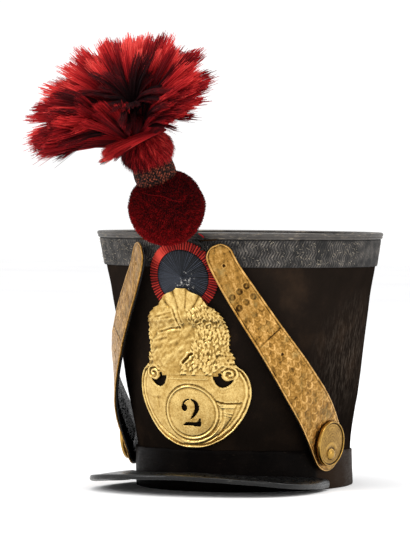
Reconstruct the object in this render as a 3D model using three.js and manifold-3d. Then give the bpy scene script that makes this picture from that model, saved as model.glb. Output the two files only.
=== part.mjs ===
// Early nineteenth-century infantry shako with pompom and plume.
// Millimetres, +Z up, the front of the hat looks along -Y, the wearer's left is +X.
// The rim stands on the plane Z = 0 with the middle of the head opening on the Z axis.
import * as THREE from "three";
import { mergeVertices } from "three/addons/utils/BufferGeometryUtils.js";
import Module from "manifold-3d";

const wasm = await Module();
wasm.setup();

// Clearance between neighbouring pieces
const clearance = 0.3;

// Felt body
const felt_height = 209.5;
const felt_wall = 2.5;
const head_half_width = 87;
const head_half_length = 105.5;
const crown_half_width = 115.6;
const crown_half_length = 126;
const crown_lean = 14.5;
const oval_steps = 44;

// Leather crown
const crown_leather = 2;
const crown_dish = 2;
const crown_ring_drop = 1.2;
const crown_ring_step = 1.6;
const crown_ring_rise = 1.9;
const crown_ring_proud = 2.9;
const crown_ring_lip = 6;
const crown_ring_round = 1.4;
const crown_ring_fall = 0.6;
const crown_ring_bevel = 0.8;

// Woven band under the crown
const galon_width = 22.5;
const galon_thickness = 1.6;
const galon_round = 0.3;
const galon_edge = 1;

// Leather band around the base
const base_band_height = 31.5;
const base_band_slope = 3.4;
const base_band_thickness = 1.7;
const base_band_round = 0.6;

// Peak
const peak_half_width = 96;
const peak_reach = 170;
const peak_end_angle = 76;
const peak_leather = 2.6;
const peak_edge_thickness = 4.5;
const peak_edge_width = 4.6;
const peak_groove = 0.7;
const peak_joint_height = 16;
const peak_front_height = 13;
const peak_steps = 26;

// Stamped plate
const plate_height = 132;
const plate_half_width = 50;
const plate_thickness = 0.9;
const plate_above_seam = 1.4;
const plate_bend_room = 0.7;
const plate_bend_drop = 14;
const plate_bend_run = 12;
const plate_rib = 1.5;
const plate_rib_width = 3;
const plate_rib_root = 0.1;
const roundel_radius = 20.5;
const roundel_up = 0.222;
const numeral_height = 22.7;
const numeral_width = 16.5;
const horn_bell_width = 14.5;

// Cockade
const cockade_radius = 29.5;
const cockade_disc_radius = 22;
const cockade_drop = 30.5;
const cockade_thickness = 2.4;
const cockade_pleat = 0.9;
const rim_pleats = 26;
const disc_pleats = 20;

// Chin straps
const strap_top_width = 22.6;
const strap_foot_width = 43;
const strap_leather = 1.3;
const strap_brass = 1;
const strap_edge_bead = 0.7;
const strap_scale_rise = 0.6;
const strap_scale_pitch = 12.6;
const strap_bulge = 5;
const strap_right_twist = 27;
const strap_hole = 2.6;
const strap_foot_height = 20;
const strap_foot_angle = 77;
const boss_radius = 19;
const boss_thickness = 3.2;
const boss_rim = 3;
const boss_round = 0.6;
const boss_rise = 19.5;
const hook_wire = 1.5;

// Pompom and plume
const pompom_radius = 31;
const pompom_rise = 20.3;
const pompom_pile = 0.9;
const turban_radius = 17;
const turban_half_height = 15;
const turban_rise = 31;
const collar_radius = 20.5;
const collar_half_height = 14;
const collar_rise = 22.5;
const plume_core_radius = 44;
const plume_core_half_height = 32;
const plume_core_rise = 29.5;
const plume_lock_length = 81;
const plume_lock_width = 18;
const plume_locks = 36;
const plume_lean_forward = 0.42;
const plume_lean_aside = -0.2;
const socket_half_width = 19;
const socket_half_height = 7;
const socket_forward = 5;

// Share of the height of the felt, and how much of the flare is reached there
const felt_profile = [
  { up: 0, flare: 0 },
  { up: 0.185, flare: 0.011 },
  { up: 0.382, flare: 0.271 },
  { up: 0.649, flare: 0.556 },
  { up: 0.775, flare: 0.7 },
  { up: 0.891, flare: 0.865 },
  { up: 1, flare: 1 },
];

// Heights as shares of the plate's height, half widths as shares of its widest half
const plate_outline = [
  { up: 0, side: 0.09 },
  { up: 0.005, side: 0.19 },
  { up: 0.02, side: 0.32 },
  { up: 0.055, side: 0.5 },
  { up: 0.108, side: 0.67 },
  { up: 0.18, side: 0.82 },
  { up: 0.256, side: 0.93 },
  { up: 0.324, side: 0.99 },
  { up: 0.385, side: 1 },
  { up: 0.442, side: 0.97 },
  { up: 0.485, side: 0.9 },
  { up: 0.517, side: 0.8 },
  { up: 0.536, side: 0.765 },
  { up: 0.574, side: 0.77 },
  { up: 0.612, side: 0.705 },
  { up: 0.65, side: 0.705 },
  { up: 0.71, side: 0.72 },
  { up: 0.771, side: 0.68 },
  { up: 0.832, side: 0.61 },
  { up: 0.873, side: 0.51 },
  { up: 0.897, side: 0.39 },
  { up: 0.922, side: 0.355 },
  { up: 0.953, side: 0.29 },
  { up: 0.978, side: 0.16 },
  { up: 1, side: 0.07 },
];

// Crescent openings beside the straight top of the shield, same shares as the outline
const notch_outline = [
  { side: 0.516, up: 0.479 },
  { side: 0.484, up: 0.455 },
  { side: 0.386, up: 0.45 },
  { side: 0.414, up: 0.418 },
  { side: 0.5, up: 0.392 },
  { side: 0.58, up: 0.389 },
  { side: 0.66, up: 0.406 },
  { side: 0.72, up: 0.433 },
  { side: 0.638, up: 0.425 },
  { side: 0.56, up: 0.441 },
];

// Hunting horn: the middle line round the roundel in degrees and shares of the bell's width
const horn_line = [
  { turn: 22, out: 1.62, half: 0.5 },
  { turn: 5, out: 1.42, half: 0.36 },
  { turn: -22, out: 1.27, half: 0.25 },
  { turn: -55, out: 1.2, half: 0.18 },
  { turn: -90, out: 1.17, half: 0.14 },
  { turn: -125, out: 1.2, half: 0.12 },
  { turn: -158, out: 1.36, half: 0.1 },
  { turn: -190, out: 1.55, half: 0.13 },
];

// Peak from the middle of the front to its end: outline, then height shares of the two edges
const peak_outline = [
  { along: 0, side: 0, front: 1, joint: 1, edge: 1 },
  { along: 0.18, side: 0.26, front: 0.985, joint: 0.97, edge: 0.97 },
  { along: 0.38, side: 0.54, front: 0.93, joint: 0.9, edge: 0.88 },
  { along: 0.58, side: 0.8, front: 0.83, joint: 0.84, edge: 0.68 },
  { along: 0.76, side: 0.96, front: 0.66, joint: 0.78, edge: 0.42 },
  { along: 0.9, side: 1, front: 0.43, joint: 0.68, edge: 0.22 },
  { along: 1, side: 0.945, front: 0.19, joint: 0.5, edge: 0.12 },
];

// Strap from its top end to its foot: where it lies, how wide, how far it bows out,
// and how far the right one hangs twisted with its front edge away from the hat
const strap_line = [
  { along: 0, turn: 0.19, up: 0.98, wide: 0, bow: 0, twist: 1 },
  { along: 0.12, turn: 0.24, up: 0.88, wide: 0.02, bow: 0.05, twist: 0.75 },
  { along: 0.222, turn: 0.315, up: 0.773, wide: 0.12, bow: 0.35, twist: 0.5 },
  { along: 0.42, turn: 0.48, up: 0.567, wide: 0.3, bow: 0.95, twist: 0.2 },
  { along: 0.645, turn: 0.675, up: 0.355, wide: 0.66, bow: 0.8, twist: 0.22 },
  { along: 0.842, turn: 0.878, up: 0.168, wide: 0.95, bow: 0.25, twist: 0.12 },
  { along: 1, turn: 1.03, up: 0, wide: 1, bow: 0, twist: 0 },
];

// Wire hook past the end of a strap: degrees towards the front, rise over the band, room behind it
const hook_line = [
  { turn: 6.5, up: -3.5, out: 0 },
  { turn: 6.2, up: -1.2, out: 1 },
  { turn: 4.5, up: -0.4, out: 3.1 },
  { turn: 1.5, up: -0.2, out: 5.1 },
  { turn: -1, up: 0.2, out: 6.3 },
];

const finishes = {
  felt: { color: 0x28201a, roughness: 0.92, metalness: 0 },
  leather: { color: 0x3c3b3a, roughness: 0.62, metalness: 0 },
  galon: { color: 0x5a5550, roughness: 0.95, metalness: 0 },
  gilt: { color: 0xe0b65a, roughness: 0.32, metalness: 1 },
  old_brass: { color: 0xcfa262, roughness: 0.42, metalness: 1 },
  lining: { color: 0x14110f, roughness: 0.35, metalness: 0 },
  red_wool: { color: 0x5a080c, roughness: 0.95, metalness: 0 },
  red_plume: { color: 0xb01d22, roughness: 0.85, metalness: 0 },
  red_cloth: { color: 0xc83c32, roughness: 0.9, metalness: 0 },
  dark_cloth: { color: 0x323741, roughness: 0.7, metalness: 0 },
  net: { color: 0x3a2a22, roughness: 0.7, metalness: 0.2 },
  black_cord: { color: 0x121110, roughness: 0.8, metalness: 0 },
};

// Reads one column of a table at a place between its rows
function readTable(rows, key, at, column) {
  const last = rows.length - 2;
  let row = 0;
  while (row < last && at > rows[row + 1][key]) row += 1;
  const from = rows[row];
  const to = rows[row + 1];
  const share = (at - from[key]) / (to[key] - from[key]);
  return from[column] + (to[column] - from[column]) * share;
}

// The same with a smooth curve through the rows
function readSmooth(rows, key, at, column) {
  const last = rows.length - 2;
  let row = 0;
  while (row < last && at > rows[row + 1][key]) row += 1;
  const step = rows[row + 1][key] - rows[row][key];
  const t = Math.min(1, Math.max(0, (at - rows[row][key]) / step));
  const slope = (middle) => {
    const low = Math.max(0, middle - 1);
    const high = Math.min(rows.length - 1, middle + 1);
    return (rows[high][column] - rows[low][column]) / (rows[high][key] - rows[low][key]);
  };
  const a = rows[row][column];
  const b = rows[row + 1][column];
  const m = slope(row) * step;
  const n = slope(row + 1) * step;
  const t2 = t * t;
  const t3 = t2 * t;
  return (2 * t3 - 3 * t2 + 1) * a + (t3 - 2 * t2 + t) * m + (3 * t2 - 2 * t3) * b + (t3 - t2) * n;
}

// Half axes of the felt at a height
function feltOval(height) {
  const flare = readTable(felt_profile, "up", height / felt_height, "flare");
  return {
    wide: head_half_width + (crown_half_width - head_half_width) * flare,
    deep: head_half_length + (crown_half_length - head_half_length) * flare,
    middle: (-crown_lean * height) / felt_height,
  };
}

// A point on the felt, or standing proud of it, at an angle from the front towards +X
function wallPoint(angle, height, proud) {
  const oval = feltOval(height);
  const nx = Math.sin(angle) / oval.wide;
  const ny = -Math.cos(angle) / oval.deep;
  const size = Math.hypot(nx, ny);
  return new THREE.Vector3(
    oval.wide * Math.sin(angle) + (proud * nx) / size,
    oval.middle - oval.deep * Math.cos(angle) + (proud * ny) / size,
    height,
  );
}

// The same, with the place across the front given as a length
function frontPoint(side, height, proud) {
  return wallPoint(side / feltOval(height).wide, height, proud);
}

// A closed body from points and triangles, turned so that its faces point out
function closedBody(points, faces) {
  let volume = 0;
  for (const [a, b, c] of faces) {
    volume += points[a].dot(new THREE.Vector3().crossVectors(points[b], points[c]));
  }
  const order = volume < 0 ? faces.map(([a, b, c]) => [a, c, b]) : faces;
  const geometry = new THREE.BufferGeometry();
  const flat = points.flatMap((p) => [p.x, p.y, p.z]);
  geometry.setAttribute("position", new THREE.Float32BufferAttribute(flat, 3));
  geometry.setIndex(order.flat());
  return geometry;
}

// Joins loops of equal length, either all the way round or with a flat end on each side
function sweep(loops, round) {
  const count = loops[0].length;
  const points = loops.flat();
  const faces = [];
  const spans = round ? loops.length : loops.length - 1;
  for (let row = 0; row < spans; row += 1) {
    const next = (row + 1) % loops.length;
    for (let k = 0; k < count; k += 1) {
      const a = row * count + k;
      const b = row * count + ((k + 1) % count);
      const c = next * count + k;
      const d = next * count + ((k + 1) % count);
      faces.push([a, b, c], [b, d, c]);
    }
  }
  if (!round) {
    for (const [start, flip] of [[0, false], [(loops.length - 1) * count, true]]) {
      const flatLoop = loops[start / count];
      const across = new THREE.Vector3().subVectors(flatLoop[1], flatLoop[0]).normalize();
      const far = flatLoop[Math.ceil(count / 2)];
      const normal = new THREE.Vector3().subVectors(far, flatLoop[0]).cross(across).normalize();
      const up = new THREE.Vector3().crossVectors(normal, across);
      const outline = flatLoop.map((p) => {
        const offset = new THREE.Vector3().subVectors(p, flatLoop[0]);
        return new THREE.Vector2(offset.dot(across), offset.dot(up));
      });
      for (const face of THREE.ShapeUtils.triangulateShape(outline, [])) {
        const ids = face.map((k) => start + k);
        const turn = signedArea(outline) > 0 ? flip : !flip;
        faces.push(turn ? [ids[0], ids[1], ids[2]] : [ids[0], ids[2], ids[1]]);
      }
    }
  }
  return closedBody(points, faces);
}

function signedArea(outline) {
  return THREE.ShapeUtils.area(outline);
}

// A band all the way round the hat, from a section of proud and height for each angle
function ovalBand(section) {
  const loops = [];
  for (let step = 0; step < oval_steps; step += 1) {
    const angle = (2 * Math.PI * step) / oval_steps;
    loops.push(section(angle).map(([proud, height]) => wallPoint(angle, height, proud)));
  }
  return sweep(loops, true);
}

// A round body on an axis: rings between two poles, with a radius for each ring and angle
function knob(center, axis, halfHeight, rings, sides, radiusAt) {
  const up = axis.clone().normalize();
  const side = new THREE.Vector3(1, 0, 0).cross(up).normalize();
  const front = new THREE.Vector3().crossVectors(up, side);
  const points = [center.clone().addScaledVector(up, -halfHeight)];
  for (let ring = 1; ring < rings; ring += 1) {
    const tilt = (Math.PI * ring) / rings;
    for (let k = 0; k < sides; k += 1) {
      const angle = (2 * Math.PI * k) / sides;
      const radius = radiusAt(tilt, k, ring);
      points.push(
        center.clone()
          .addScaledVector(up, -halfHeight * Math.cos(tilt))
          .addScaledVector(side, radius * Math.cos(angle))
          .addScaledVector(front, radius * Math.sin(angle)),
      );
    }
  }
  points.push(center.clone().addScaledVector(up, halfHeight));
  const faces = [];
  const top = points.length - 1;
  for (let k = 0; k < sides; k += 1) {
    const next = (k + 1) % sides;
    faces.push([0, 1 + next, 1 + k]);
    faces.push([top, top - sides + k, top - sides + next]);
    for (let ring = 0; ring < rings - 2; ring += 1) {
      const a = 1 + ring * sides + k;
      const b = 1 + ring * sides + next;
      faces.push([a, b, a + sides], [b, b + sides, a + sides]);
    }
  }
  return closedBody(points, faces);
}

// Solids for cutting and joining
function toSolid(geometry) {
  const plain = geometry.clone();
  plain.deleteAttribute("normal");
  plain.deleteAttribute("uv");
  const merged = mergeVertices(plain, 1e-4);
  return new wasm.Manifold(new wasm.Mesh({
    numProp: 3,
    vertProperties: new Float32Array(merged.getAttribute("position").array),
    triVerts: new Uint32Array(merged.getIndex().array),
  }));
}

function toGeometry(solid) {
  const mesh = solid.getMesh();
  const geometry = new THREE.BufferGeometry();
  geometry.setAttribute("position", new THREE.Float32BufferAttribute(mesh.vertProperties, 3));
  geometry.setIndex(new THREE.Uint32BufferAttribute(mesh.triVerts, 1));
  return geometry;
}

// Repeatable scatter between 0 and 1
function scatter(seed) {
  const wave = Math.sin(seed * 127.1 + 11.7) * 43758.5453;
  return wave - Math.floor(wave);
}

function feltBody() {
  return ovalBand(() => {
    const outside = felt_profile.map((row) => [0, row.up * felt_height]);
    const inside = felt_profile.map((row) => [-felt_wall, row.up * felt_height]).reverse();
    return [...outside, ...inside];
  });
}

const seamHeight = (angle) => base_band_height + base_band_slope * Math.cos(angle);
const base_band_face = clearance + base_band_thickness;

function baseBand() {
  return ovalBand((angle) => {
    const seam = seamHeight(angle);
    return [
      [clearance, 0],
      [base_band_face - base_band_round, 0],
      [base_band_face, base_band_round * 2],
      [base_band_face, seam - base_band_round * 2],
      [base_band_face - base_band_round, seam],
      [clearance, seam],
    ];
  });
}

const crown_ring_foot = felt_height - crown_ring_drop;
const crown_top_face = felt_height + clearance + crown_leather;
const crown_ring_top = crown_top_face + crown_ring_rise;

function crownRing() {
  const inner = clearance;
  const outer = crown_ring_proud;
  const step = crown_ring_foot + crown_ring_step;
  return ovalBand(() => [
    [inner, crown_ring_foot],
    [outer - crown_ring_bevel, crown_ring_foot],
    [outer, step],
    [outer, crown_ring_top - crown_ring_round],
    [outer - crown_ring_round, crown_ring_top],
    [inner - crown_ring_lip, crown_ring_top - crown_ring_fall],
    [inner - crown_ring_lip, crown_top_face + clearance],
    [inner, crown_top_face + clearance],
  ]);
}

function crownTop() {
  const rings = [0.5, 1];
  const under = felt_height + clearance;
  const points = [];
  const place = (angle, share, face) => {
    const sag = crown_dish * (1 - share * share);
    const edge = wallPoint(angle, felt_height, -felt_wall * 0.2);
    const middle = feltOval(felt_height).middle;
    const height = under + face * crown_leather - sag;
    return new THREE.Vector3(edge.x * share, middle + (edge.y - middle) * share, height);
  };
  for (const face of [0, 1]) {
    points.push(place(0, 0, face));
    for (const share of rings) {
      for (let k = 0; k < oval_steps; k += 1) {
        points.push(place((2 * Math.PI * k) / oval_steps, share, face));
      }
    }
  }
  const half = 1 + rings.length * oval_steps;
  const faces = [];
  for (let k = 0; k < oval_steps; k += 1) {
    const next = (k + 1) % oval_steps;
    faces.push([0, 1 + next, 1 + k], [half, half + 1 + k, half + 1 + next]);
    for (let ring = 0; ring < rings.length - 1; ring += 1) {
      const a = 1 + ring * oval_steps + k;
      const b = 1 + ring * oval_steps + next;
      const c = a + oval_steps;
      const d = b + oval_steps;
      faces.push([a, b, c], [b, d, c], [half + a, half + c, half + b], [half + b, half + c, half + d]);
    }
    const rim = 1 + (rings.length - 1) * oval_steps;
    faces.push([rim + k, rim + next, half + rim + k], [rim + next, half + rim + next, half + rim + k]);
  }
  return closedBody(points, faces);
}

const galon_top = crown_ring_foot - clearance;
const galon_face = clearance + galon_thickness;

function galonBand() {
  const low = galon_top - galon_width;
  return ovalBand(() => [
    [clearance, low],
    [galon_face - galon_round, low],
    [galon_face, low + galon_edge],
    [galon_face, galon_top - galon_edge],
    [galon_face - galon_round, galon_top],
    [clearance, galon_top],
  ]);
}

// The peak: leather sewn round the front of the base, with a rolled edge behind a groove
function peak() {
  const loops = [];
  for (let step = 0; step <= peak_steps; step += 1) {
    const along = (2 * step) / peak_steps - 1;
    const from = Math.abs(along);
    const angle = (along * peak_end_angle * Math.PI) / 180;
    const high = peak_joint_height * readSmooth(peak_outline, "along", from, "joint");
    const low = peak_front_height * readSmooth(peak_outline, "along", from, "edge");
    const joint = wallPoint(angle, high, base_band_face + clearance);
    const side = peak_half_width * readSmooth(peak_outline, "along", from, "side");
    const front = peak_reach * readSmooth(peak_outline, "along", from, "front");
    const edge = new THREE.Vector3(Math.sign(along) * side, -front, low + peak_edge_thickness);
    const run = new THREE.Vector2(edge.x - joint.x, edge.y - joint.y);
    const reach = run.length();
    run.normalize();
    const rim = Math.min(peak_edge_width, reach * 0.45);
    const at = (distance, height) =>
      new THREE.Vector3(joint.x + run.x * distance, joint.y + run.y * distance, height);
    const slope = (distance) => high + ((edge.z - peak_groove - high) * distance) / reach;
    loops.push([
      at(0, high),
      at(reach * 0.5, slope(reach * 0.5) + 0.8),
      at(reach - rim, slope(reach - rim)),
      at(reach - rim * 0.62, edge.z),
      at(reach - rim * 0.25, edge.z - 0.2),
      at(reach, edge.z - peak_edge_thickness * 0.4),
      at(reach - rim * 0.2, edge.z - peak_edge_thickness),
      at(reach - rim, edge.z - peak_edge_thickness + 0.3),
      at(reach * 0.5, slope(reach * 0.5) + 0.8 - peak_leather),
      at(0, high - peak_leather),
    ]);
  }
  return sweep(loops, false);
}

// The plate stands just above the seam of the base band and rises over the cockade
const plate_foot = base_band_height + base_band_slope + plate_above_seam;
const roundel_height = plate_foot + roundel_up * plate_height;
const cockade_height = galon_top - cockade_drop;
const cockade_back = galon_face + clearance;
const cockade_face = cockade_back + cockade_thickness;
const cockade_foot = cockade_height - cockade_radius;

function plateProud(height) {
  const low = cockade_foot - plate_bend_drop;
  const share = Math.min(1, Math.max(0, (height - low) / plate_bend_run));
  const ease = share * share * (3 - 2 * share);
  return clearance + plate_bend_room + cockade_face * ease;
}

// How far the front of the plate stands out from its sheet
function plateRelief(side, up, across) {
  const wreath = up > 0.53 && up < 0.9 && across > 0.72 ? 0.8 : 0;
  const oval = Math.hypot(side / 0.36, (up - 0.66) / 0.12);
  const shell = up > 0.9 ? 0.5 * Math.abs(Math.cos(side * 30)) : 0;
  const field = up > 0.53 ? 0.5 * Math.max(0, 1 - oval) + 0.3 : 0;
  return wreath + shell + field;
}

function plateSheet() {
  const columns = [-1, -0.8, -0.4, 0, 0.4, 0.8, 1];
  const rows = plate_outline;
  const points = [];
  for (const face of [0, 1]) {
    for (const row of rows) {
      const height = plate_foot + row.up * plate_height;
      for (const across of columns) {
        const side = across * row.side;
        const relief = face * (plate_thickness + plateRelief(side, row.up, Math.abs(across)));
        points.push(frontPoint(side * plate_half_width, height, plateProud(height) + relief));
      }
    }
  }
  return closedBody(points, gridFaces(rows.length, columns.length));
}

// Faces of two equal grids of points, front and back, closed along their rim
function gridFaces(rows, columns) {
  const half = rows * columns;
  const faces = [];
  for (let r = 0; r < rows - 1; r += 1) {
    for (let c = 0; c < columns - 1; c += 1) {
      const a = r * columns + c;
      const b = a + 1;
      const d = a + columns;
      const e = d + 1;
      faces.push([a, b, d], [b, e, d]);
      faces.push([half + a, half + d, half + b], [half + b, half + d, half + e]);
    }
  }
  const rim = [];
  for (let c = 0; c < columns - 1; c += 1) rim.push([c + 1, c]);
  for (let c = 0; c < columns - 1; c += 1) rim.push([half - columns + c, half - columns + c + 1]);
  for (let r = 0; r < rows - 1; r += 1) rim.push([r * columns, (r + 1) * columns]);
  for (let r = 0; r < rows - 1; r += 1) rim.push([(r + 2) * columns - 1, (r + 1) * columns - 1]);
  for (const [a, b] of rim) faces.push([a, b, half + a], [b, half + b, half + a]);
  return faces;
}

// A raised rib on the plate through places given as lengths across and heights
function plateRib(places, halfWidthAt, rise, round) {
  const loops = places.map(([side, height], k) => {
    const before = places[round ? (k + places.length - 1) % places.length : Math.max(0, k - 1)];
    const after = places[round ? (k + 1) % places.length : Math.min(places.length - 1, k + 1)];
    const along = new THREE.Vector2(after[0] - before[0], after[1] - before[1]).normalize();
    const half = halfWidthAt(k);
    const base = plateProud(height) + plate_thickness * plate_rib_root;
    const top = rise + plate_thickness * (0.5 - plate_rib_root);
    const spot = (across, lift) => {
      const x = side - along.y * across * half;
      const z = height + along.x * across * half;
      return frontPoint(x, z, base + lift);
    };
    return [spot(-1, 0), spot(-0.55, top), spot(0.55, top), spot(1, 0)];
  });
  return sweep(loops, round);
}

function ringPlaces(radius, steps) {
  const places = [];
  for (let k = 0; k < steps; k += 1) {
    const angle = (2 * Math.PI * k) / steps;
    places.push([radius * Math.cos(angle), roundel_height + radius * Math.sin(angle)]);
  }
  return places;
}

// A cutter through the plate from an outline in lengths across and heights
function plateCutter(outline) {
  const shape = new THREE.Shape(outline.map(([side, height]) => {
    const spot = frontPoint(side, height, 0);
    return new THREE.Vector2(spot.x, height);
  }));
  const depth = 2 * crown_half_length;
  const geometry = new THREE.ExtrudeGeometry(shape, { depth, bevelEnabled: false, curveSegments: 6 });
  geometry.rotateX(Math.PI / 2);
  return geometry;
}

// The stencil numeral as a few closed shapes: a hooked stroke, a bowl and a foot
function numeralShapes() {
  const spot = (x, y) => [x * numeral_width, roundel_height + (y - 0.5) * numeral_height];
  const hook = [[-0.03, 1], [-0.3, 0.92], [-0.47, 0.74], [-0.47, 0.62], [-0.36, 0.55], [-0.22, 0.58],
    [-0.16, 0.67], [-0.22, 0.76], [-0.32, 0.78], [-0.22, 0.88], [-0.03, 0.95]];
  const bowl = [[0.04, 1], [0.32, 0.93], [0.45, 0.76], [0.42, 0.58], [0.24, 0.4], [-0.06, 0.22],
    [0.1, 0.45], [0.2, 0.62], [0.2, 0.8], [0.04, 0.93]];
  const foot = [[-0.5, 0.02], [-0.22, 0.15], [0.28, 0.15], [0.38, 0.26], [0.5, 0.26], [0.46, 0]];
  return [hook, bowl, foot].map((shape) => shape.map(([x, y]) => spot(x, y)));
}

function plate() {
  let solid = toSolid(plateSheet());
  const inset = plate_rib_width * 0.5;
  const border = [];
  const shield = plate_outline.filter((row) => row.up < 0.52);
  const place = (row, sign) => [
    sign * Math.max(0, row.side * plate_half_width - inset),
    plate_foot + row.up * plate_height + inset * (1 - row.up / 0.5),
  ];
  for (const row of [...shield].reverse()) border.push(place(row, -1));
  for (const row of shield) border.push(place(row, 1));
  const kept = border.filter((spot, k) => k === 0 || Math.hypot(spot[0] - border[k - 1][0],
    spot[1] - border[k - 1][1]) > 2.5);
  solid = solid.add(toSolid(plateRib(kept, () => plate_rib_width / 2, plate_rib, false)));
  const ring = ringPlaces(roundel_radius, 22);
  solid = solid.add(toSolid(plateRib(ring, () => plate_rib_width * 0.42, plate_rib, true)));
  const bar = [-0.36, -0.12, 0.12, 0.36].map((side) =>
    [side * plate_half_width, plate_foot + 0.436 * plate_height]);
  solid = solid.add(toSolid(plateRib(bar, () => plate_rib_width * 0.42, plate_rib, false)));
  const horn = horn_line.map((row) => {
    const turn = (row.turn * Math.PI) / 180;
    const out = roundel_radius * row.out;
    return [out * Math.cos(turn), roundel_height + out * Math.sin(turn)];
  });
  const hornHalf = (k) => horn_line[k].half * horn_bell_width;
  solid = solid.add(toSolid(plateRib(horn, hornHalf, plate_rib * 1.2, false)));
  const notch = (sign) => notch_outline.map((row) =>
    [sign * row.side * plate_half_width, plate_foot + row.up * plate_height]);
  for (const outline of [notch(1), notch(-1), ...numeralShapes()]) {
    solid = solid.subtract(toSolid(plateCutter(outline)));
  }
  return toGeometry(solid);
}

// The pleated ring of the cockade
function cockadeRim() {
  const loops = [];
  const steps = rim_pleats * 2;
  for (let k = 0; k < steps; k += 1) {
    const angle = (2 * Math.PI * k) / steps;
    const fold = k % 2 === 0 ? 0 : cockade_pleat;
    const spot = (radius, proud) => frontPoint(
      radius * Math.cos(angle), cockade_height + radius * Math.sin(angle), proud);
    const inner = cockade_disc_radius + clearance;
    const outer = cockade_radius - fold * 0.5;
    loops.push([
      spot(inner, cockade_back),
      spot(outer, cockade_back),
      spot(outer, cockade_face - 0.4 - fold),
      spot(inner, cockade_face - 0.4 - fold * 0.6),
    ]);
  }
  return sweep(loops, true);
}

// The pleated disc in the middle of the cockade
function cockadeDisc() {
  const sides = disc_pleats * 2;
  const rings = [0.97, 1];
  const points = [];
  for (const face of [0, 1]) {
    points.push(frontPoint(0, cockade_height, cockade_back + face * (cockade_thickness - 0.5)));
    rings.forEach((share, ring) => {
      for (let k = 0; k < sides; k += 1) {
        const angle = (2 * Math.PI * k) / sides;
        const radius = cockade_disc_radius * share;
        const fold = k % 2 === 0 ? 0 : cockade_pleat * share;
        const top = ring === 1 ? cockade_thickness * 0.5 : cockade_thickness - fold;
        points.push(frontPoint(radius * Math.cos(angle), cockade_height + radius * Math.sin(angle),
          cockade_back + face * top));
      }
    });
  }
  const half = 1 + rings.length * sides;
  const faces = [];
  for (let k = 0; k < sides; k += 1) {
    const next = (k + 1) % sides;
    faces.push([0, 1 + next, 1 + k], [half, half + 1 + k, half + 1 + next]);
    for (let ring = 0; ring < rings.length - 1; ring += 1) {
      const a = 1 + ring * sides + k;
      const b = 1 + ring * sides + next;
      faces.push([a, b, a + sides], [b, b + sides, a + sides]);
      faces.push([half + a, half + a + sides, half + b], [half + b, half + a + sides, half + b + sides]);
    }
    const rim = 1 + (rings.length - 1) * sides;
    faces.push([rim + k, rim + next, half + rim + k], [rim + next, half + rim + next, half + rim + k]);
  }
  return closedBody(points, faces);
}

// Places along a chin strap: its middle, the way along, across and out from the hat
const strap_back = cockade_face + clearance;
const strap_seat = base_band_face + clearance;

function strapTurn(at, sign) {
  return (sign * readSmooth(strap_line, "along", at, "turn") * strap_foot_angle * Math.PI) / 180;
}

function strapWidth(at) {
  const share = readSmooth(strap_line, "along", at, "wide");
  return strap_top_width + (strap_foot_width - strap_top_width) * share;
}

function strapTwist(at, sign) {
  if (sign > 0) return 0;
  return (readSmooth(strap_line, "along", at, "twist") * strap_right_twist * Math.PI) / 180;
}

function strapPlace(at, sign) {
  const top = galon_top - strap_foot_height;
  const height = strap_foot_height + readSmooth(strap_line, "along", at, "up") * top;
  const bow = readSmooth(strap_line, "along", at, "bow") * strap_bulge;
  const rest = strap_back + (strap_seat - strap_back) * at;
  const aside = (strapWidth(at) / 2) * Math.sin(strapTwist(at, sign));
  return wallPoint(strapTurn(at, sign), height, rest + bow + aside);
}

function strapFrame(along, sign) {
  const middle = strapPlace(along, sign);
  const before = strapPlace(Math.max(0, along - 0.01), sign);
  const ahead = strapPlace(Math.min(1, along + 0.01), sign).sub(before).normalize();
  const turn = strapTurn(along, sign);
  const out = wallPoint(turn, galon_top / 2, 1).sub(wallPoint(turn, galon_top / 2, 0)).normalize();
  const across = new THREE.Vector3().crossVectors(ahead, out).normalize();
  if (across.y > 0) across.negate();
  const lift = new THREE.Vector3().crossVectors(across, ahead).normalize();
  if (lift.dot(out) < 0) lift.negate();
  const twist = strapTwist(along, sign);
  const turned = across.clone().multiplyScalar(Math.cos(twist)).addScaledVector(lift, Math.sin(twist));
  lift.multiplyScalar(Math.cos(twist)).addScaledVector(across, -Math.sin(twist));
  return { middle, ahead, across: turned, lift, half: strapWidth(along) / 2 };
}

// The straight length of the strap, measured along its middle
function strapLength() {
  let length = 0;
  for (let k = 0; k < 40; k += 1) {
    length += strapFrame(k / 40, 1).middle.distanceTo(strapFrame((k + 1) / 40, 1).middle);
  }
  return length;
}

const strap_run = strapLength();

// Half width near the rounded ends of a strap
function endHalf(along, half) {
  const fromTop = along * strap_run;
  const fromFoot = (1 - along) * strap_run;
  const distance = Math.min(fromTop, fromFoot);
  if (distance >= half) return half;
  return Math.sqrt(half * half - (half - distance) * (half - distance));
}

// Stops along a strap: close together at its round ends, then two for each scale
const strap_end_stops = [0.004, 0.012, 0.026, 0.045];
const strap_scale_count = Math.round((strap_run * 0.87) / strap_scale_pitch);

function strapStops() {
  const stops = [...strap_end_stops];
  const count = strap_scale_count * 2;
  for (let k = 0; k <= count; k += 1) stops.push(0.065 + (0.87 * k) / count);
  return [...stops, ...strap_end_stops.map((stop) => 1 - stop).reverse()];
}

function strapLining(sign) {
  const loops = strapStops().map((along) => {
    const frame = strapFrame(along, sign);
    const half = endHalf(along, frame.half);
    const spot = (across, lift) => frame.middle.clone()
      .addScaledVector(frame.across, across * half).addScaledVector(frame.lift, lift);
    return [spot(-1, strap_leather), spot(1, strap_leather), spot(1, 0), spot(-1, 0)];
  });
  return toGeometry(toSolid(sweep(loops, false)).subtract(toSolid(strapHole(sign))));
}

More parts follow.
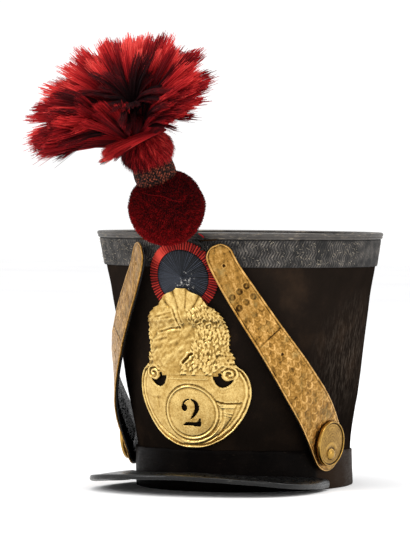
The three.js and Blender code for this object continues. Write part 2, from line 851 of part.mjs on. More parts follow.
function strapScales(sign) {
  const base = strap_leather + clearance;
  const loops = strapStops().map((along, k) => {
    const frame = strapFrame(along, sign);
    const half = endHalf(along, frame.half);
    const rise = base + strap_brass + (k % 2 === 0 ? 0 : strap_scale_rise);
    const bead = base + strap_brass + strap_edge_bead;
    const spot = (across, lift) => frame.middle.clone()
      .addScaledVector(frame.across, across * half).addScaledVector(frame.lift, lift);
    return [
      spot(-1, base),
      spot(1, base),
      spot(0.96, bead),
      spot(0.86, base + strap_brass),
      spot(0, rise),
      spot(-0.86, base + strap_brass),
      spot(-0.96, bead),
    ];
  });
  return toGeometry(toSolid(sweep(loops, false)).subtract(toSolid(strapHole(sign))));
}

// The hole near the top end that drops over the hook
function strapHole(sign) {
  const frame = strapFrame(strap_top_width / strap_run, sign);
  const depth = strap_top_width / 2;
  const geometry = new THREE.CylinderGeometry(strap_hole / 2, strap_hole / 2, depth, 10);
  const turn = new THREE.Quaternion().setFromUnitVectors(new THREE.Vector3(0, 1, 0), frame.lift);
  geometry.applyQuaternion(turn);
  geometry.translate(frame.middle.x, frame.middle.y, frame.middle.z);
  return geometry;
}

// The seat of a boss: a plane that rests on the highest places of the bent strap under it
function bossSeat(sign) {
  const top = galon_top - strap_foot_height;
  const share = boss_rise / top;
  let along = 0;
  while (along < 1 && readSmooth(strap_line, "along", along, "up") > share) along += 0.002;
  const middle = strapFrame(along, sign);
  const frames = [];
  for (let k = -8; k <= 8; k += 1) {
    const at = along + (k * boss_radius) / (8 * strap_run);
    frames.push(strapFrame(Math.min(0.999, at), sign));
  }
  const run = new THREE.Vector3().subVectors(frames[16].middle, frames[0].middle).normalize();
  const out = new THREE.Vector3().crossVectors(middle.across, run).normalize();
  if (out.dot(middle.lift) < 0) out.negate();
  const face = strap_leather + clearance + strap_brass + Math.max(strap_edge_bead, strap_scale_rise);
  let highest = 0;
  for (const frame of frames) {
    for (const across of [-1, -0.5, 0, 0.5, 1]) {
      const spot = frame.middle.clone()
        .addScaledVector(frame.across, across * frame.half).addScaledVector(frame.lift, face);
      const away = spot.sub(middle.middle);
      const height = away.dot(out);
      const reach = Math.sqrt(Math.max(0, away.lengthSq() - height * height));
      if (reach < boss_radius + 2) highest = Math.max(highest, height);
    }
  }
  return { place: middle.middle.clone().addScaledVector(out, highest + clearance), out };
}

// Round boss over the foot of a strap: beaded rim, dished face and a small ball
function boss(sign) {
  const profile = [
    [0, 0],
    [boss_radius - boss_round, 0],
    [boss_radius, boss_thickness * 0.4],
    [boss_radius - boss_round, boss_thickness * 0.9],
    [boss_radius - boss_rim * 0.6, boss_thickness],
    [boss_radius - boss_rim, boss_thickness * 0.65],
    [boss_radius * 0.5, boss_thickness * 0.75],
    [0, boss_thickness * 0.85],
  ].map(([radius, height]) => new THREE.Vector2(radius, height));
  const dish = new THREE.LatheGeometry(profile, 20);
  const ball = new THREE.SphereGeometry(boss_radius * 0.27, 8, 6);
  const cap = new THREE.BoxGeometry(boss_radius, boss_radius, boss_radius);
  cap.translate(0, boss_thickness * 0.2 - boss_radius / 2, boss_radius * 0.45);
  ball.translate(0, boss_thickness * 0.6, boss_radius * 0.45);
  const geometry = toGeometry(toSolid(dish).add(toSolid(ball).subtract(toSolid(cap))));
  const { place, out } = bossSeat(sign);
  const level = new THREE.Vector3(0, 0, -1).addScaledVector(out, out.z).normalize();
  const cross = new THREE.Vector3().crossVectors(out, level).normalize();
  geometry.applyMatrix4(new THREE.Matrix4().makeBasis(cross, out, level));
  geometry.translate(place.x, place.y, place.z);
  return geometry;
}

// A wire hook above the top end of a strap
function strapHook(sign) {
  const start = strapFrame(0, sign).middle;
  const oval = feltOval(galon_top);
  const angle = Math.atan2(start.x / oval.wide, -(start.y - oval.middle) / oval.deep);
  const wire = hook_wire / 2;
  const path = new THREE.CatmullRomCurve3(hook_line.map((row) => {
    const turn = angle - (sign * row.turn * Math.PI) / 180;
    return wallPoint(turn, galon_top + row.up, galon_face + clearance + wire + row.out);
  }));
  const section = new THREE.Shape();
  section.absarc(0, 0, wire, 0, 2 * Math.PI, false);
  const geometry = new THREE.ExtrudeGeometry(section, { steps: 8, curveSegments: 2, extrudePath: path });
  return toGeometry(toSolid(geometry));
}

// The plume rises from the pompom along one leaning axis
const plume_axis = new THREE.Vector3(plume_lean_aside, -plume_lean_forward, 1).normalize();
const crown_front = wallPoint(0, crown_ring_top, crown_ring_proud + clearance);
const pompom_height = crown_ring_top + pompom_rise;
const pompom_seat = Math.sqrt(Math.max(0, (pompom_radius + pompom_pile) ** 2 - pompom_rise ** 2));
const pompom_center = new THREE.Vector3(0, crown_front.y - pompom_seat, pompom_height);
const upAxis = (rise) => pompom_center.clone().addScaledVector(plume_axis, rise);

function pompomBody(spare) {
  return knob(pompom_center, plume_axis, pompom_radius + spare, 11, 18, (tilt, k, ring) => {
    const pile = spare > 0 ? pompom_pile : pompom_pile * scatter(k * 3 + ring * 17);
    return (pompom_radius + spare) * Math.sin(tilt) + pile;
  });
}

function turbanBody(spare) {
  const center = upAxis(turban_rise);
  return knob(center, plume_axis, turban_half_height + spare, 8, 18, (tilt) =>
    (turban_radius + spare) * Math.pow(Math.sin(tilt), 0.7));
}

function collarBody(spare) {
  const center = upAxis(turban_rise + collar_rise);
  return knob(center, plume_axis, collar_half_height + spare, 8, 18, (tilt, k) => {
    const tuft = spare > 0 ? 0 : -1.2 * scatter(k + 5);
    return (collar_radius + spare) * Math.pow(Math.sin(tilt), 0.75) + tuft * Math.sin(tilt);
  });
}

function turban() {
  return toGeometry(toSolid(turbanBody(0)).subtract(toSolid(pompomBody(clearance))));
}

function collar() {
  return toGeometry(toSolid(collarBody(0)).subtract(toSolid(turbanBody(clearance))));
}

// The head of the plume: flat tapered locks that burst from a full round core
function plumeHead() {
  const center = upAxis(turban_rise + collar_rise + plume_core_rise);
  const root = center.clone().addScaledVector(plume_axis, -plume_core_half_height * 0.5);
  const side = new THREE.Vector3(1, 0, 0).cross(plume_axis).normalize();
  const front = new THREE.Vector3().crossVectors(plume_axis, side);
  let solid = toSolid(knob(center, plume_axis, plume_core_half_height, 7, 13, (tilt, k, ring) =>
    plume_core_radius * Math.sin(tilt) * (0.9 + 0.2 * scatter(k * 5 + ring))));
  const golden = Math.PI * (3 - Math.sqrt(5));
  for (let k = 0; k < plume_locks; k += 1) {
    const lift = 0.98 - (0.86 * (k + 0.5)) / plume_locks;
    const turn = golden * k;
    const flat = Math.sqrt(1 - lift * lift);
    const way = plume_axis.clone().multiplyScalar(lift)
      .addScaledVector(side, flat * Math.cos(turn))
      .addScaledVector(front, flat * Math.sin(turn));
    const length = plume_lock_length * (0.88 + 0.22 * scatter(k));
    const wide = plume_lock_width * (0.75 + 0.5 * scatter(k + 31));
    solid = solid.add(toSolid(lock(root, way, length, wide, scatter(k + 57) * Math.PI)));
  }
  return toGeometry(solid.subtract(toSolid(collarBody(clearance))));
}

function lock(root, way, length, wide, roll) {
  const side = new THREE.Vector3().crossVectors(way, new THREE.Vector3(0.3, 0.5, 0.8)).normalize();
  const other = new THREE.Vector3().crossVectors(way, side);
  const across = side.clone().multiplyScalar(Math.cos(roll)).addScaledVector(other, Math.sin(roll));
  const through = new THREE.Vector3().crossVectors(way, across);
  const stops = [
    { out: plume_core_radius * 0.4, half: wide * 0.35 },
    { out: length * 0.78, half: wide * 0.5 },
    { out: length, half: wide * 0.1 },
  ];
  return sweep(stops.map(({ out, half }) => {
    const spot = (a, b) => root.clone().addScaledVector(way, out)
      .addScaledVector(across, a * half).addScaledVector(through, b * half * 0.6);
    return [spot(-1, -0.6), spot(0, 1), spot(1, -0.6)];
  }), false);
}

// The black cloth pocket between pompom and crown, cut by what it is pressed between
function plumeSocket() {
  const seat = wallPoint(0, crown_ring_top, 0);
  const center = new THREE.Vector3(0, seat.y - crown_ring_proud - socket_forward,
    crown_ring_foot + socket_forward);
  const up = new THREE.Vector3(0, 0, 1);
  const sides = 16;
  const body = knob(center, up, socket_half_height, 6, sides, (tilt, k) => {
    const angle = (2 * Math.PI * k) / sides;
    const spread = socket_half_width - socket_half_height;
    const wide = Math.abs(Math.sin(angle)) * spread + socket_half_height;
    return wide * Math.pow(Math.sin(tilt), 0.6);
  });
  const behind = -2 * socket_half_width;
  const above = crown_ring_top + 2 * socket_half_width;
  const shell = ovalBand(() => [
    [behind, 0],
    [galon_face + clearance, 0],
    [galon_face + clearance, crown_ring_foot - clearance],
    [crown_ring_proud + clearance, crown_ring_foot - clearance],
    [crown_ring_proud + clearance, above],
    [behind, above],
  ]);
  const reach = 4 * crown_half_length;
  const floor = new THREE.BoxGeometry(reach, reach, reach);
  floor.translate(0, 0, cockade_height + cockade_radius + clearance - reach / 2);
  return toGeometry(toSolid(body).subtract(toSolid(shell))
    .subtract(toSolid(pompomBody(clearance))).subtract(toSolid(floor)));
}

const group = new THREE.Group();

function addPiece(name, finish, geometry) {
  const mesh = new THREE.Mesh(geometry, new THREE.MeshStandardMaterial(finishes[finish]));
  geometry.computeVertexNormals();
  mesh.name = name;
  group.add(mesh);
}

addPiece("felt_body", "felt", feltBody());
addPiece("base_band", "leather", baseBand());
addPiece("galon_band", "galon", galonBand());
addPiece("crown_top", "leather", crownTop());
addPiece("crown_ring", "leather", crownRing());
addPiece("peak", "leather", peak());
addPiece("plate", "gilt", plate());
addPiece("cockade_rim", "red_cloth", cockadeRim());
addPiece("cockade_disc", "dark_cloth", cockadeDisc());
for (const [word, sign] of [["left", 1], ["right", -1]]) {
  addPiece(`strap_lining_${word}`, "lining", strapLining(sign));
  addPiece(`strap_scales_${word}`, "old_brass", strapScales(sign));
  addPiece(`strap_boss_${word}`, "old_brass", boss(sign));
  addPiece(`strap_hook_${word}`, "old_brass", strapHook(sign));
}
addPiece("plume_socket", "black_cord", plumeSocket());
addPiece("pompom", "red_wool", pompomBody(0));
addPiece("plume_turban", "net", turban());
addPiece("plume_collar", "red_plume", collar());
addPiece("plume_head", "red_plume", plumeHead());

export default group;
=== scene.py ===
"""Looks of a felt shako with leather crown, stamped plate, scaled chin straps, pompom and plume.

Metres, +Z up, the front of the hat looks along -Y, the wearer's left is +X, the rim stands on Z = 0.
"""

import math

import bmesh
import bpy
import numpy as np
from mathutils import Matrix, Vector


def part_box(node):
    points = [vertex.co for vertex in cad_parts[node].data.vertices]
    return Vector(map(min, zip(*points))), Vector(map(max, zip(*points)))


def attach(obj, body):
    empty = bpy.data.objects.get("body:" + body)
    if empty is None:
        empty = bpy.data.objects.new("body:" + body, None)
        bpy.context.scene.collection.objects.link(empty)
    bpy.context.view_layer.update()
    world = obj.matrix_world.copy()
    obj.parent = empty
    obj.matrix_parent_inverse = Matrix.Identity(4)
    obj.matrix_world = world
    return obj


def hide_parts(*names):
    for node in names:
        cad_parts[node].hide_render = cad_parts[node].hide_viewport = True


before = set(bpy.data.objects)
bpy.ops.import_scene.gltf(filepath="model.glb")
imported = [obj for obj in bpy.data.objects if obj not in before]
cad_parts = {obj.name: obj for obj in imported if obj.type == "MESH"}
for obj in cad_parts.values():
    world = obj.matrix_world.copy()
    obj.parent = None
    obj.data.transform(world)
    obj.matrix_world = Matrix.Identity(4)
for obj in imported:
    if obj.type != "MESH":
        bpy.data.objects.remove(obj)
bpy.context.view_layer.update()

MM = 0.001
SEED = 11

# Sizes that the frame gives
felt_low, felt_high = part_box("felt_body")
FELT_HEIGHT = felt_high.z
CROWN_HALF_WIDTH = felt_high.x
CROWN_HALF_LENGTH = (felt_high.y - felt_low.y) / 2
CROWN_LEAN = -(felt_high.y + felt_low.y) / 2
CROWN_RING_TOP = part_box("crown_ring")[1].z
CROWN_RING_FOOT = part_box("crown_ring")[0].z
GALON_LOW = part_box("galon_band")[0].z
GALON_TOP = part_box("galon_band")[1].z
PLATE_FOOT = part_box("plate")[0].z
PLATE_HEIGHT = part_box("plate")[1].z - PLATE_FOOT
pompom_low, pompom_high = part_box("pompom")
POMPOM = np.array((pompom_low + pompom_high) / 2)
POMPOM_RADIUS = (pompom_high.z - pompom_low.z) / 2
cockade_low, cockade_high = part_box("cockade_rim")
COCKADE_HEIGHT = (cockade_low.z + cockade_high.z) / 2
COCKADE_RADIUS = (cockade_high.z - cockade_low.z) / 2
COCKADE_DISC = (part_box("cockade_disc")[1].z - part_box("cockade_disc")[0].z) / 2

# Sizes that follow the solids
CLEARANCE = 0.3 * MM
FELT_WALL = 2.5 * MM
BAND_STEPS = 320
HEAD_HALF_WIDTH = 87 * MM
HEAD_HALF_LENGTH = 105.5 * MM
BASE_BAND_HEIGHT = 31.5 * MM
BASE_BAND_SLOPE = 3.4 * MM
BASE_BAND_FACE = 2.0 * MM
BAND_JOINT = 66
GALON_FACE = 1.9 * MM
GALON_WAVE_HEIGHT = 4.6 * MM
GALON_WEAVE = 2.6 * MM
CROWN_RING_PROUD = 2.9 * MM
CROWN_RING_LIP = 6 * MM
PEAK_HALF_WIDTH = 96 * MM
PEAK_REACH = 170 * MM
PEAK_END = math.radians(76)
PEAK_LEATHER = 2.6 * MM
PEAK_EDGE_THICKNESS = 4.5 * MM
PEAK_EDGE_WIDTH = 4.6 * MM
PEAK_JOINT_HEIGHT = 16 * MM
PEAK_FRONT_HEIGHT = 13 * MM
PLATE_BACK = 1.0 * MM
PLATE_SHEET = 0.9 * MM
# The stamping is drawn in millimetres on a sheet this wide to either side and this tall
PLATE_SIDE = 50
PLATE_TALL = 132
SHIELD_TOP = 0.53
ROUNDEL_RADIUS = 20.5
ROUNDEL_UP = 0.222
NUMERAL_HEIGHT = 22.7
NUMERAL_WIDTH = 16.5
HORN_BELL_WIDTH = 14.5
COCKADE_BACK = GALON_FACE + CLEARANCE
COCKADE_THICKNESS = 2.4 * MM
RED_PLEATS = 76
DARK_PLEATS = 84
DARK_PLEATS_TURN = math.radians(35)
SMOOTH_CLOTH_TURN = math.radians(138)
STRAP_TOP_WIDTH = 22.6 * MM
STRAP_FOOT_WIDTH = 43 * MM
STRAP_FOOT_HEIGHT = 20 * MM
STRAP_FOOT_ANGLE = math.radians(77)
STRAP_BULGE = 5 * MM
STRAP_TWIST = math.radians(27)
STRAP_BASE = 1.6 * MM
STRAP_BRASS = 1.0 * MM
STRAP_SCALE_PITCH = 5.6 * MM
STRAP_SCALE_COLUMNS = 5
BOSS_RADIUS = 19 * MM
BOSS_THICKNESS = 3.2 * MM
TURBAN_RADIUS = 17 * MM
TURBAN_HALF_HEIGHT = 15 * MM
TURBAN_RISE = 31 * MM
TURBAN_KNOTS = 34
TURBAN_ROWS = 15
COLLAR_RADIUS = 20.5 * MM
COLLAR_HALF_HEIGHT = 14 * MM
COLLAR_RISE = 53.5 * MM
PLUME_ROOT_RISE = 67 * MM
PLUME_LOCK_LENGTH = 88 * MM
PLUME_AXIS = np.array((-0.2, -0.42, 1.0))
PLUME_AXIS = PLUME_AXIS / np.linalg.norm(PLUME_AXIS)
BURST_AXIS = np.array((0.006, -0.618, 0.786))
LOCK_BEND = 0.8
LOCK_SWAY = math.radians(24)
LOCK_CURL = 1.3
FRONT_LOCK_BEND = 0.3
HOLLOW_RISE = 20 * MM
FRONT_TURN = math.radians(266)
FRONT_GAP = math.radians(46)
CAMERA_AZIMUTH = math.radians(23.4)


def table(columns, rows):
    return {name: np.array(values, float) for name, values in zip(columns, zip(*rows))}


FELT = table(("up", "flare"), [
    (0, 0), (0.185, 0.011), (0.382, 0.271), (0.649, 0.556), (0.775, 0.7), (0.891, 0.865), (1, 1)])

PLATE_OUTLINE = table(("up", "side"), [
    (0, 0.09), (0.005, 0.19), (0.02, 0.32), (0.055, 0.5), (0.108, 0.67), (0.18, 0.82), (0.256, 0.93),
    (0.324, 0.99), (0.385, 1), (0.442, 0.97), (0.485, 0.9), (0.517, 0.8), (0.536, 0.765), (0.574, 0.77),
    (0.612, 0.705), (0.65, 0.705), (0.71, 0.72), (0.771, 0.68), (0.832, 0.61), (0.873, 0.51),
    (0.897, 0.39), (0.922, 0.355), (0.953, 0.29), (0.978, 0.16), (1, 0.07)])

NOTCH = table(("side", "up"), [
    (0.4, 0.455), (0.45, 0.449), (0.488, 0.45), (0.492, 0.47), (0.545, 0.47), (0.55, 0.447), (0.565, 0.432),
    (0.61, 0.422), (0.67, 0.425), (0.735, 0.434), (0.72, 0.419), (0.67, 0.4), (0.61, 0.387), (0.55, 0.382),
    (0.495, 0.387), (0.45, 0.402), (0.42, 0.424)])

HORN = table(("turn", "out", "half"), [
    (18, 1.54, 0.6), (9, 1.5, 0.4), (0, 1.47, 0.26), (-16, 1.36, 0.16), (-33, 1.28, 0.12), (-60, 1.22, 0.1),
    (-90, 1.2, 0.085), (-125, 1.22, 0.07), (-150, 1.3, 0.05)])

PEAK = table(("along", "side", "front", "joint", "edge"), [
    (0, 0, 1, 1, 1), (0.18, 0.26, 0.985, 0.97, 0.97), (0.38, 0.54, 0.93, 0.9, 0.88),
    (0.58, 0.8, 0.83, 0.84, 0.68), (0.76, 0.96, 0.66, 0.78, 0.42), (0.9, 1, 0.43, 0.68, 0.22),
    (1, 0.945, 0.19, 0.5, 0.12)])

STRAP = table(("along", "turn", "up", "wide", "bow", "twist"), [
    (0, 0.19, 0.98, 0, 0, 1), (0.12, 0.24, 0.88, 0.02, 0.05, 0.75), (0.222, 0.315, 0.773, 0.12, 0.35, 0.5),
    (0.42, 0.48, 0.567, 0.3, 0.95, 0.2), (0.645, 0.675, 0.355, 0.66, 0.8, 0.22),
    (0.842, 0.878, 0.168, 0.95, 0.25, 0.12), (1, 1.03, 0, 1, 0, 0)])

# The reach of the long locks round the burst: their lean in degrees and their length for each turn
BURST = table(("turn", "lean", "long"), [
    (0, 66, 0.84), (30, 62, 0.93), (60, 56, 0.96), (90, 55, 0.95), (130, 62, 0.98), (165, 76, 1.04),
    (190, 82, 1.06), (215, 72, 0.98), (245, 62, 0.8), (280, 60, 0.74), (320, 62, 0.74), (360, 66, 0.84)])

# How a lock widens, how thick its hairs are and how their tone changes, from its root to its tip; here and in
# the next two tables the tone falls towards the root as a painted shade
LOCK = table(("along", "width", "thick", "tone"), [
    (0, 0.3, 0.0034, -0.6), (0.36, 0.62, 0.0042, -0.52), (0.68, 0.92, 0.0042, -0.13), (1, 1.2, 0.0026, 0.16)])

FRONT_LOCK = table(("along", "width", "thick", "tone"), [
    (0, 0.4, 0.0036, -0.34), (0.36, 0.66, 0.0042, -0.16), (0.68, 0.9, 0.0042, 0.0), (1, 1.1, 0.0026, 0.1)])

CURLED_LOCK = table(("along", "width", "thick", "tone"), [
    (0, 0.35, 0.005, -0.5), (0.3, 0.7, 0.0062, -0.32), (0.55, 0.95, 0.0062, -0.12), (0.78, 1.1, 0.0056, 0.02),
    (1, 1.2, 0.0036, 0.1)])

# How many long locks each layer has, their share of the full length, and the least and most of their lean
LONG_LOCKS = table(("count", "reach", "low", "high"), [
    (108, 1.0, 0.86, 1.02), (92, 0.97, 0.72, 0.96), (44, 0.86, 0.62, 0.84)])
CURLED_LOCKS = 56
LOCK_HAIRS = 51
CURLED_LOCK_HAIRS = 36
FRONT_LOCK_HAIRS = 52

# The locks in front of the burst: where they start beside, above and before its root in mm, how they
# turn as the camera sees them, how much they point at it, their length, their tone and how many
FRONT_LOCKS = table(("beside", "above", "before", "turn", "sway", "near", "long", "tone", "count"), [
    (-6, -9, 11, 168, 13, 0.3, 0.93, 0.52, 15), (-8, -8, 12, 140, 15, 0.55, 0.72, 0.4, 13),
    (-9, -6, 12, 104, 16, 0.6, 0.44, 0.44, 8), (0, -6, 11, 45, 26, 0.55, 0.52, 0.42, 11),
    (17, 2, 14, 200, 6, 0.2, 0.68, 0.62, 9), (-2, -8, 12, 197, 9, 0.5, 0.42, 0.3, 6)])


# Shapes that several pieces share

def smooth(rows, key, at, column):
    """One column of a table, on a smooth curve through its rows, straight on past its end."""
    x, y = rows[key], rows[column]
    slope = np.empty_like(y)
    slope[1:-1] = (y[2:] - y[:-2]) / (x[2:] - x[:-2])
    slope[0] = (y[1] - y[0]) / (x[1] - x[0])
    slope[-1] = (y[-1] - y[-2]) / (x[-1] - x[-2])
    at = np.asarray(at, float)
    row = np.clip(np.searchsorted(x, at, side="right") - 1, 0, len(x) - 2)
    step = x[row + 1] - x[row]
    t = np.clip((at - x[row]) / step, 0, 1)
    a, b = y[row], y[row + 1]
    m, n = slope[row] * step, slope[row + 1] * step
    value = (2 * t**3 - 3 * t**2 + 1) * a + (t**3 - 2 * t**2 + t) * m
    value = value + (3 * t**2 - 2 * t**3) * b + (t**3 - t**2) * n
    return value + np.maximum(0, at - x[-1]) * slope[-1]


def wall(angle, height, proud=0.0):
    """Points on the felt, or standing proud of it, at an angle from the front towards +X."""
    angle, height, proud = np.broadcast_arrays(angle, height, proud)
    flare = smooth(FELT, "up", height / FELT_HEIGHT, "flare")
    wide = HEAD_HALF_WIDTH + (CROWN_HALF_WIDTH - HEAD_HALF_WIDTH) * flare
    deep = HEAD_HALF_LENGTH + (CROWN_HALF_LENGTH - HEAD_HALF_LENGTH) * flare
    middle = -CROWN_LEAN * height / FELT_HEIGHT
    nx, ny = np.sin(angle) / wide, -np.cos(angle) / deep
    size = np.hypot(nx, ny)
    return np.stack([wide * np.sin(angle) + proud * nx / size,
                     middle - deep * np.cos(angle) + proud * ny / size, height], -1)


def front(side, height, proud=0.0):
    """The same, with the place across the front given as a length."""
    flare = smooth(FELT, "up", np.asarray(height) / FELT_HEIGHT, "flare")
    wide = HEAD_HALF_WIDTH + (CROWN_HALF_WIDTH - HEAD_HALF_WIDTH) * flare
    return wall(side / wide, height, proud)


def wobble(points, size, seed):
    """A soft random swell between about -1 and 1, with bumps of the given size."""
    rng = np.random.default_rng(seed)
    value = np.zeros(points.shape[:-1])
    for _ in range(9):
        way = rng.normal(size=3)
        way = way / np.linalg.norm(way) * rng.uniform(0.6, 1.7) * 2 * math.pi / size
        value = value + np.sin(points @ way + rng.uniform(0, 2 * math.pi))
    return value / 4


def finer(section, step):
    """A closed section with points added so that none is further than a step from the next."""
    made = []
    for (x0, z0), (x1, z1) in zip(section, section[1:] + section[:1]):
        count = max(1, int(math.ceil(math.hypot(x1 - x0, z1 - z0) / step)))
        made += [(x0 + (x1 - x0) * k / count, z0 + (z1 - z0) * k / count) for k in range(count)]
    return np.array(made)


def unit(vectors):
    return vectors / np.linalg.norm(vectors, axis=-1, keepdims=True)


def full_turn(count):
    """Angles once round, evenly spaced."""
    return np.linspace(0, 2 * math.pi, count, endpoint=False)


def run_along(places):
    """How far along the line through the places each of them lies."""
    return np.concatenate([[0], np.cumsum(np.linalg.norm(np.diff(places, axis=0), axis=1))])


# Making meshes into pieces of the object

def new_object(name, data):
    made = bpy.data.objects.new(name, data)
    bpy.context.scene.collection.objects.link(made)
    return made


def write_layer(mesh, label, values, kind="FLOAT"):
    """Stores a value, or a way, at each point of a mesh."""
    layer = mesh.attributes.new(label, kind, "POINT")
    layer.data.foreach_set("value" if kind == "FLOAT" else "vector", np.asarray(values, np.float32).ravel())


def read_layer(mesh, label):
    values = np.zeros(len(mesh.vertices), np.float32)
    mesh.attributes[label].data.foreach_get("value", values)
    return values


def mesh_object(name, points, faces, material, layers=None, recalculate=True):
    mesh = bpy.data.meshes.new(name)
    mesh.from_pydata(points.tolist(), [], faces)
    if recalculate:
        shell = bmesh.new()
        shell.from_mesh(mesh)
        bmesh.ops.recalc_face_normals(shell, faces=shell.faces)
        shell.to_mesh(mesh)
        shell.free()
    for label, values in (layers or {}).items():
        write_layer(mesh, label, values)
    mesh.polygons.foreach_set("use_smooth", np.ones(len(mesh.polygons), bool))
    made = new_object(name, mesh)
    made.data.materials.append(material)
    return made


def grid_object(name, points, material, round_u=False, round_v=False, caps=False, layers=None):
    """A surface over a grid of points, closed round either way, with a cap at each end of the grid."""
    nu, nv = points.shape[:2]
    i, j = np.meshgrid(np.arange(nu if round_u else nu - 1), np.arange(nv if round_v else nv - 1),
                       indexing="ij")
    i, j = i.ravel(), j.ravel()
    i2, j2 = (i + 1) % nu, (j + 1) % nv
    faces = np.stack([i * nv + j, i2 * nv + j, i2 * nv + j2, i * nv + j2], 1).tolist()
    if caps and round_u:
        faces.append([k * nv for k in range(nu)])
        faces.append([k * nv + nv - 1 for k in range(nu)])
    if caps and round_v:
        faces.append(list(range(nv)))
        faces.append([(nu - 1) * nv + k for k in range(nv)])
    return mesh_object(name, points.reshape(-1, 3), faces, material, layers)


def into_object(piece, slot, *nodes):
    """The piece rides on the hat and stands for the named solids, which it hides; the slot is not used."""
    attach(piece, "root")
    if nodes:
        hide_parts(*nodes)
    return piece


def with_modifiers(piece):
    """Puts a piece's modifiers into its mesh."""
    shape = bpy.data.meshes.new_from_object(piece.evaluated_get(bpy.context.evaluated_depsgraph_get()))
    piece.modifiers.clear()
    piece.data = shape
    return piece


def oval_object(name, section_at, step, material, steps, rough):
    """A band all the way round the hat from a section of proud and height at each angle."""
    angles = full_turn(steps)
    loops = [finer(section_at(angle), step) for angle in angles]
    count = min(len(loop) for loop in loops)
    loops = np.array([loop[np.linspace(0, len(loop) - 1, count).round().astype(int)] for loop in loops])
    points = wall(angles[:, None], loops[..., 1], loops[..., 0])
    swell = wobble(points, 23 * MM, 3) * rough
    points = wall(angles[:, None], loops[..., 1], loops[..., 0] + np.maximum(swell, -CLEARANCE))
    return grid_object(name, points, material, round_u=True, round_v=True)


# Materials

def linear(colour):
    """The linear values of an sRGB hex colour."""
    parts = [((colour >> shift) & 255) / 255 for shift in (16, 8, 0)]
    return [*(c / 12.92 if c <= 0.04045 else ((c + 0.055) / 1.055) ** 2.4 for c in parts), 1.0]


def wire(tree, made, links):
    """Links the sockets of a node to their sources."""
    for socket, source in links.items():
        tree.links.new(source, made.inputs[socket])


def node(tree, kind, values=None, links=None, stops=None, **settings):
    """Adds a node with its settings, its sockets' values, its links and the stops of its ramp."""
    made = tree.nodes.new(kind)
    for label, value in settings.items():
        setattr(made, label, value)
    for socket, value in (values or {}).items():
        made.inputs[socket].default_value = value
    wire(tree, made, links or {})
    if stops:
        elements = made.color_ramp.elements
        while len(elements) < len(stops):
            elements.new(0.5)
        for element, (place, colour) in zip(elements, stops):
            element.position = place
            element.color = colour if isinstance(colour, (list, tuple)) else linear(colour)
    return made


def new_material(name, **values):
    """A material with its shader's plain values set. Returns the material, its tree and its shader."""
    made = bpy.data.materials.new(name)
    made.use_nodes = True
    shader = made.node_tree.nodes["Principled BSDF"]
    for label, value in values.items():
        shader.inputs[label.replace("_", " ")].default_value = value
    return made, made.node_tree, shader


def per(size):
    """A texture's scale for features of a real size in metres."""
    return 1 / size


def stiffened_felt():
    """Shellac-stiffened wool felt, brushed upright: a dull brown black with a rubbed nap and dust, darkened
    towards the bottom as a painted shade.
    """
    made, tree, shader = new_material("brushed_wool_felt", Roughness=1.0, Specular_IOR_Level=0.0)
    place = node(tree, "ShaderNodeTexCoord").outputs["Object"]
    nap_space = node(tree, "ShaderNodeMapping", {"Scale": (1, 1, 0.16)}, {"Vector": place})
    patch = node(tree, "ShaderNodeTexNoise", {"Scale": per(38 * MM), "Detail": 6.0, "Roughness": 0.62},
                 {"Vector": place})
    nap = node(tree, "ShaderNodeTexNoise", {"Scale": per(2.2 * MM), "Detail": 4.0, "Roughness": 0.7},
               {"Vector": nap_space.outputs[0]})
    hair = node(tree, "ShaderNodeTexNoise", {"Scale": per(0.7 * MM), "Detail": 3.0}, {"Vector": place})
    base = node(tree, "ShaderNodeValToRGB", None, {"Fac": patch.outputs["Fac"]},
                [(0.3, 0x080504), (0.52, 0x120C09), (0.72, 0x261B13)])
    rub_mark = Vector(wall(math.radians(88), 108 * MM).tolist())
    far = node(tree, "ShaderNodeVectorMath", {1: rub_mark}, {0: place}, operation="DISTANCE")
    rub = node(tree, "ShaderNodeMapRange", {"From Min": 62 * MM, "From Max": 4 * MM, "To Max": 0.62},
               {"Value": far.outputs["Value"]})
    dust = node(tree, "ShaderNodeValToRGB", None, {"Fac": nap.outputs["Fac"]},
                [(0.47, (0, 0, 0, 1)), (0.75, (1, 1, 1, 1))])
    amount = node(tree, "ShaderNodeMath", {2: 0.05}, {0: dust.outputs[0], 1: rub.outputs[0]},
                  operation="MULTIPLY_ADD")
    colour = node(tree, "ShaderNodeMix", {7: linear(0x6B5F54)}, {0: amount.outputs[0], 6: base.outputs[0]},
                  data_type="RGBA")
    both = node(tree, "ShaderNodeMath", None, {0: nap.outputs["Fac"], 1: hair.outputs["Fac"]},
                operation="ADD")
    bump = node(tree, "ShaderNodeBump", {"Strength": 0.5, "Distance": 0.35 * MM},
                {"Height": both.outputs[0]})
    height = node(tree, "ShaderNodeSeparateXYZ", None, {0: place})
    # Painted shade: the felt's colour is multiplied down towards the bottom, to 0.4 at 20 mm.
    painted_shade_low = node(tree, "ShaderNodeMapRange", {"From Min": 20 * MM, "From Max": 150 * MM, "To Min": 0.4},
                {"Value": height.outputs["Z"]})
    colour = node(tree, "ShaderNodeMix", {0: 1.0}, {6: colour.outputs[2], 7: painted_shade_low.outputs[0]},
                  data_type="RGBA", blend_type="MULTIPLY")
    wire(tree, shader, {"Base Color": colour.outputs[2], "Normal": bump.outputs[0]})
    return made


